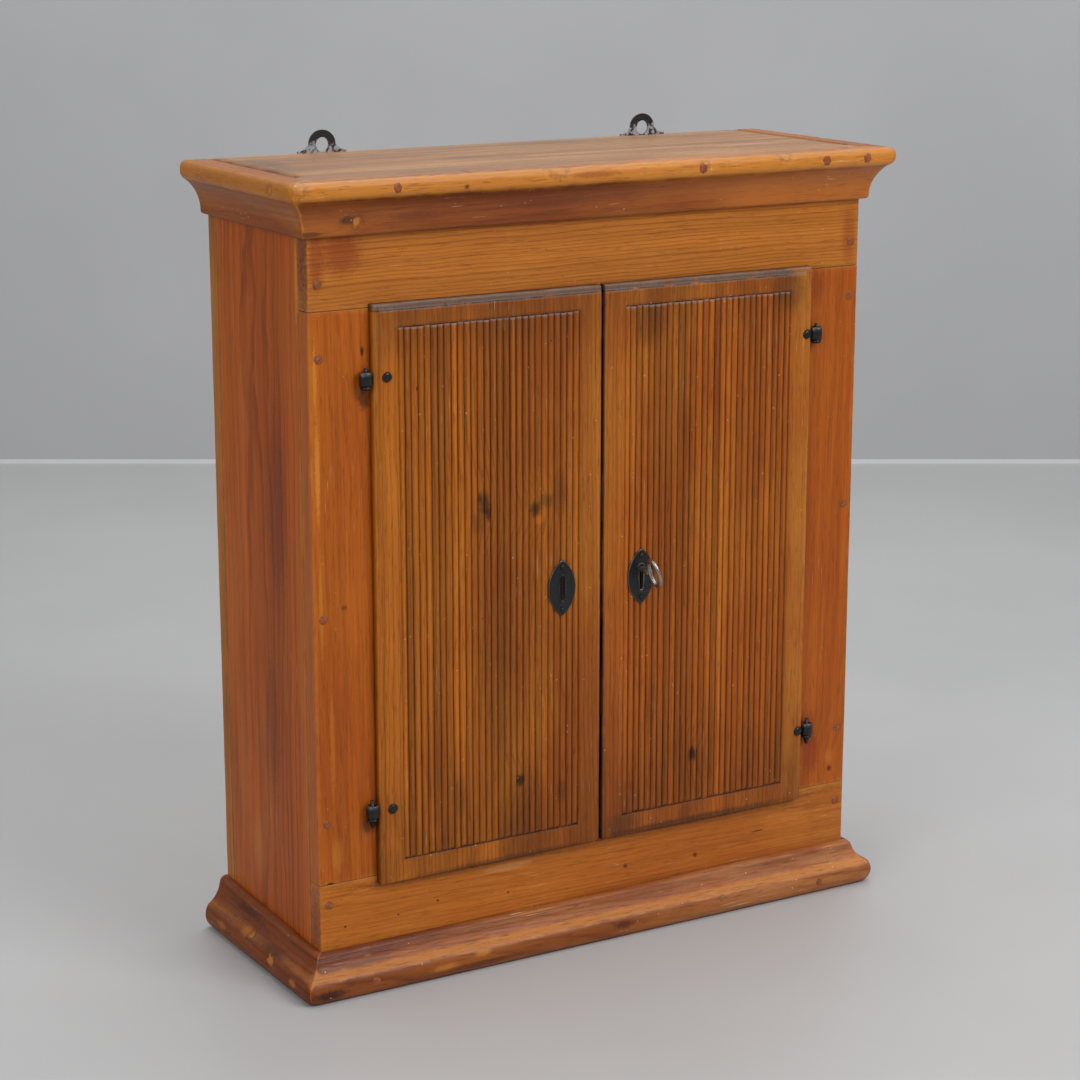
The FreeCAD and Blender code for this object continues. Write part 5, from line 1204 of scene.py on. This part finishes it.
for side, hingeSide in sideWays.items():
    way = -hingeSide  # from the axis to the door
    for level in ("upper", "lower"):
        eyeName, pinName = "hinge_eye_%s_%s" % (side, level), "pintle_%s_%s" % (side, level)
        eyeLow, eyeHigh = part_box(eyeName)
        outerX, leafX = (eyeLow.x, eyeHigh.x) if way > 0 else (eyeHigh.x, eyeLow.x)
        axis = Vector((outerX + way * hinge["axis"], eyeLow.y + hinge["axis"], (eyeLow.z + eyeHigh.z) / 2))
        sides = hinge["barrelSides"]
        points, faces = forgedRound("barrel", sides, hinge["barrelRagged"], 9 * axis.z, axis)
        rows = [number // sides for number in range(len(points))]
        rubs = [hinge["rubbed" if row in hinge["rubbedRows"] else "dull"] for row in rows]
        start, front, back, half = hinge["leaf"]
        leafLow, leafHigh = sorted((axis.x + way * start, leafX))
        leaf = forgedBox((leafLow, axis.y + front, axis.z - half), (leafHigh, axis.y + back, axis.z + half),
                         hinge["leafRound"], hinge["leafSeed"])
        eye = mergeShapes(eyeName + "_forged", (points, faces, rubs), leaf)
        dress(eye, "door_" + side, iron["black"], "black_iron", eyeName)
        points, faces = forgedRound(level, hinge["pinSides"], hinge["pinRagged"], way + axis.z, axis)
        half, below, above = hinge["tang"]
        tang = forgedBox((axis.x - half, axis.y, axis.z - below),
                         (axis.x + half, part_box(pinName)[1].y, axis.z - above),
                         hinge["tangRound"], hinge["tangSeed"])
        pin = mergeShapes(pinName + "_forged", (points, faces, [hinge["pinDull"]] * len(points)), tang)
        dress(pin, "cabinet", iron["black"], "black_iron", pinName)
print("hinges made")

# Key plates: pointed ovals with a raised rim round the opening, in mm
plate = {"halfWide": 15.5, "halfTall": 29, "slot": (2.5, 10),
         "keyRound": 4.2, "keyUp": 8, "keySlot": 2.1, "keyFoot": 13,
         # share of the width, height in mm, rub
         "rings": [(0, 0.5, 0.6), (0.02, 1.7, 1.3), (0.1, 1.9, 1), (0.17, 1.2, 0), (0.5, 1.45, 0),
                   (0.86, 1.3, 0.1), (0.95, 1, 0.8), (1, 0.4, 1), (1, -0.3, 0), (0, -0.3, 0)],
         "rimRings": 3, "dullRim": 0.6, "count": 72}


def plateRim(turn):
    bow = (plate["halfWide"] ** 2 + plate["halfTall"] ** 2) / (2 * plate["halfWide"])
    off = (bow - plate["halfWide"]) * abs(math.cos(turn))
    return math.sqrt(off ** 2 + bow ** 2 - (bow - plate["halfWide"]) ** 2) - off


def slotRim(turn):
    radius, rise = plate["slot"]
    across, up = abs(math.cos(turn)), abs(math.sin(turn))
    if radius * up <= rise * across:
        return radius / across
    return rise * up + math.sqrt(max(radius ** 2 - (rise * across) ** 2, 0))


def keyholeRim(turn):
    across, up = max(abs(math.cos(turn)), tiny), math.sin(turn)
    neck = plate["keyUp"] - math.sqrt(plate["keyRound"] ** 2 - plate["keySlot"] ** 2)
    if up > 0 and plate["keySlot"] * up / across > neck:
        rest = plate["keyRound"] ** 2 - (plate["keyUp"] * across) ** 2
        return plate["keyUp"] * up + math.sqrt(max(rest, 0))
    return min(plate["keySlot"] / across, plate["keyFoot"] / max(-up, tiny))


for side, rim in (("left", slotRim), ("right", keyholeRim)):
    nodeName = "escutcheon_" + side
    low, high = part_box(nodeName)
    middleX, middleZ, seat = (low.x + high.x) / 2, (low.z + high.z) / 2, high.y
    count, rings = plate["count"], plate["rings"]
    points, edges, faces = [], [], []
    for number, (share, proud, worn) in enumerate(rings):
        ring, nextRing = number * count, (number + 1) % len(rings) * count
        for part in range(count):
            turn = 2 * math.pi * (part + 0.5) / count
            inner, outer = rim(turn), plateRim(turn)
            reach = (inner + share * (outer - inner)) * mm
            x, z = middleX + reach * math.cos(turn), middleZ + reach * math.sin(turn)
            points.append((x, seat - proud * mm, z))
            edges.append(worn * (plate["dullRim"] if side == "left" and number < plate["rimRings"] else 1))
            following = (part + 1) % count
            faces.append((ring + following, nextRing + following, nextRing + part, ring + part))
    piece = newPiece(nodeName + "_pressed", points, faces)
    writeValues(piece, edge=edges)
    dress(piece, "door_" + side, iron["black"], "black_iron", nodeName)
print("key plates made")

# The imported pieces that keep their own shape
keptMetals = {
    "hanger": ["hanger_left", "hanger_right"],
    "nail": ["moulding_nails"],
    "lock": ["lock_plate", "lock_case", "lock_keeper", "slide_bolt_plate", "slide_bolt_straps", "slide_bolt"],
    "lockSteel": ["lock_bolt", "lock_spring"],
    "key": ["key"],
    "screw": ["hanger_screws", "keeper_screws", "slide_bolt_screws", "lock_screws"],
}
for finish, names in keptMetals.items():
    for nodeName in names:
        nodes[nodeName].data.materials.clear()
        nodes[nodeName].data.materials.append(iron[finish])
print("metal finishes set")

# Floor, back wall, light and camera
stage = {"floor": (184, 184, 183), "floorRough": 0.45, "floorHalf": 30,
         "wall": (180, 180, 181), "wallRough": 0.8, "wallTall": 3, "wallHalf": 3.2, "wallDistance": 4.876,
         "line": (214, 216, 218), "lineRough": 0.6, "lineTall": 8 * mm, "lineAhead": 5 * mm}
camera = {"lens": 89.41, "sensor": 36, "place": (-1.3580, -2.2843, 1.0525), "pitch": 76.174, "yaw": -30.4635}
sky = {"tone": (0.86, 0.88, 0.92, 1), "strength": 0.45}
lamps = {  # place, aim, size, watts
    "keyLight": ((1.1, -2.6, 2.6), (0, 0, 0.4), 1.8, 62),
    "leftFill": ((-3.0, -1.6, 1.9), (0, 0, 0.4), 2.2, 34),
    "topLight": ((0.1, 0.3, 3.2), (0, 0, 0.5), 2.2, 40),
    "farFill": ((1.3, 2.2, 2.4), (1.2, 1.4, 0), 1.8, 28),
}


def stagePaint(name, kind, clearBehind=False):
    material, tree, shader, spot = newMaterial(name)
    cloudy = ease(tree, speckle(tree, spot, 1.6, 3, 0.6), 0.3, 0.7, 0.97, 1.03)
    feed(tree, shader["Base Color"], brighten(tree, linear(stage[kind])[:3], cloudy))
    feed(tree, shader["Roughness"], stage[kind + "Rough"])
    if clearBehind:  # so that views from the back look through it
        choice = {0: put(tree, "ShaderNodeNewGeometry").outputs["Backfacing"],
                  1: tree.nodes["Principled BSDF"].outputs[0],
                  2: put(tree, "ShaderNodeBsdfTransparent").outputs[0]}
        chosen = put(tree, "ShaderNodeMixShader", choice).outputs[0]
        feed(tree, tree.nodes["Material Output"].inputs["Surface"], chosen)
    return material


def sheet(name, corners, material):
    made = newPiece(name, corners, [(0, 1, 2, 3)], smooth=False)
    made.data.materials.append(material)
    return made


yaw = math.radians(camera["yaw"])
heading = Vector((-math.sin(yaw), math.cos(yaw), 0))
aside = Vector((heading.y, -heading.x, 0)) * stage["wallHalf"]
cameraFoot = Vector((*camera["place"][:2], 0))


def standing(name, distance, tall, material):  # an upright sheet across the view
    foot, rise = cameraFoot + heading * distance, Vector((0, 0, tall))
    return sheet(name, [foot - aside, foot + aside, foot + aside + rise, foot - aside + rise], material)


half = stage["floorHalf"]
floorCorners = [(-half, -half, 0), (half, -half, 0), (half, half, 0), (-half, half, 0)]
floor = sheet("floor", floorCorners, stagePaint("paleFloor", "floor"))
wallPaint = stagePaint("greyWall", "wall", True)
linePaint = stagePaint("paleLine", "line", True)
wall = standing("back_wall", stage["wallDistance"], stage["wallTall"], wallPaint)
wallLine = standing("wall_line", stage["wallDistance"] - stage["lineAhead"], stage["lineTall"], linePaint)

sceneRoot.world = bpy.data.worlds.new("studio")
sceneRoot.world.use_nodes = True
background = sceneRoot.world.node_tree.nodes["Background"].inputs
background[0].default_value = sky["tone"]
background[1].default_value = sky["strength"]
for name, (place, aim, size, watts) in lamps.items():
    lamp = bpy.data.lights.new(name, "AREA")
    lamp.size = size
    lamp.energy = watts
    holder = bpy.data.objects.new(name, lamp)
    holder.location = place
    holder.rotation_euler = (Vector(aim) - Vector(place)).to_track_quat("-Z", "Y").to_euler()
    sceneRoot.collection.objects.link(holder)

cameraData = bpy.data.cameras.new("camera")
cameraData.lens = camera["lens"]
cameraData.sensor_width = camera["sensor"]
cameraObject = bpy.data.objects.new("camera", cameraData)
cameraObject.location = camera["place"]
cameraObject.rotation_euler = (math.radians(camera["pitch"]), 0, yaw)
sceneRoot.collection.objects.link(cameraObject)
sceneRoot.camera = cameraObject
sceneRoot.view_settings.view_transform = "Standard"
print("stage set")
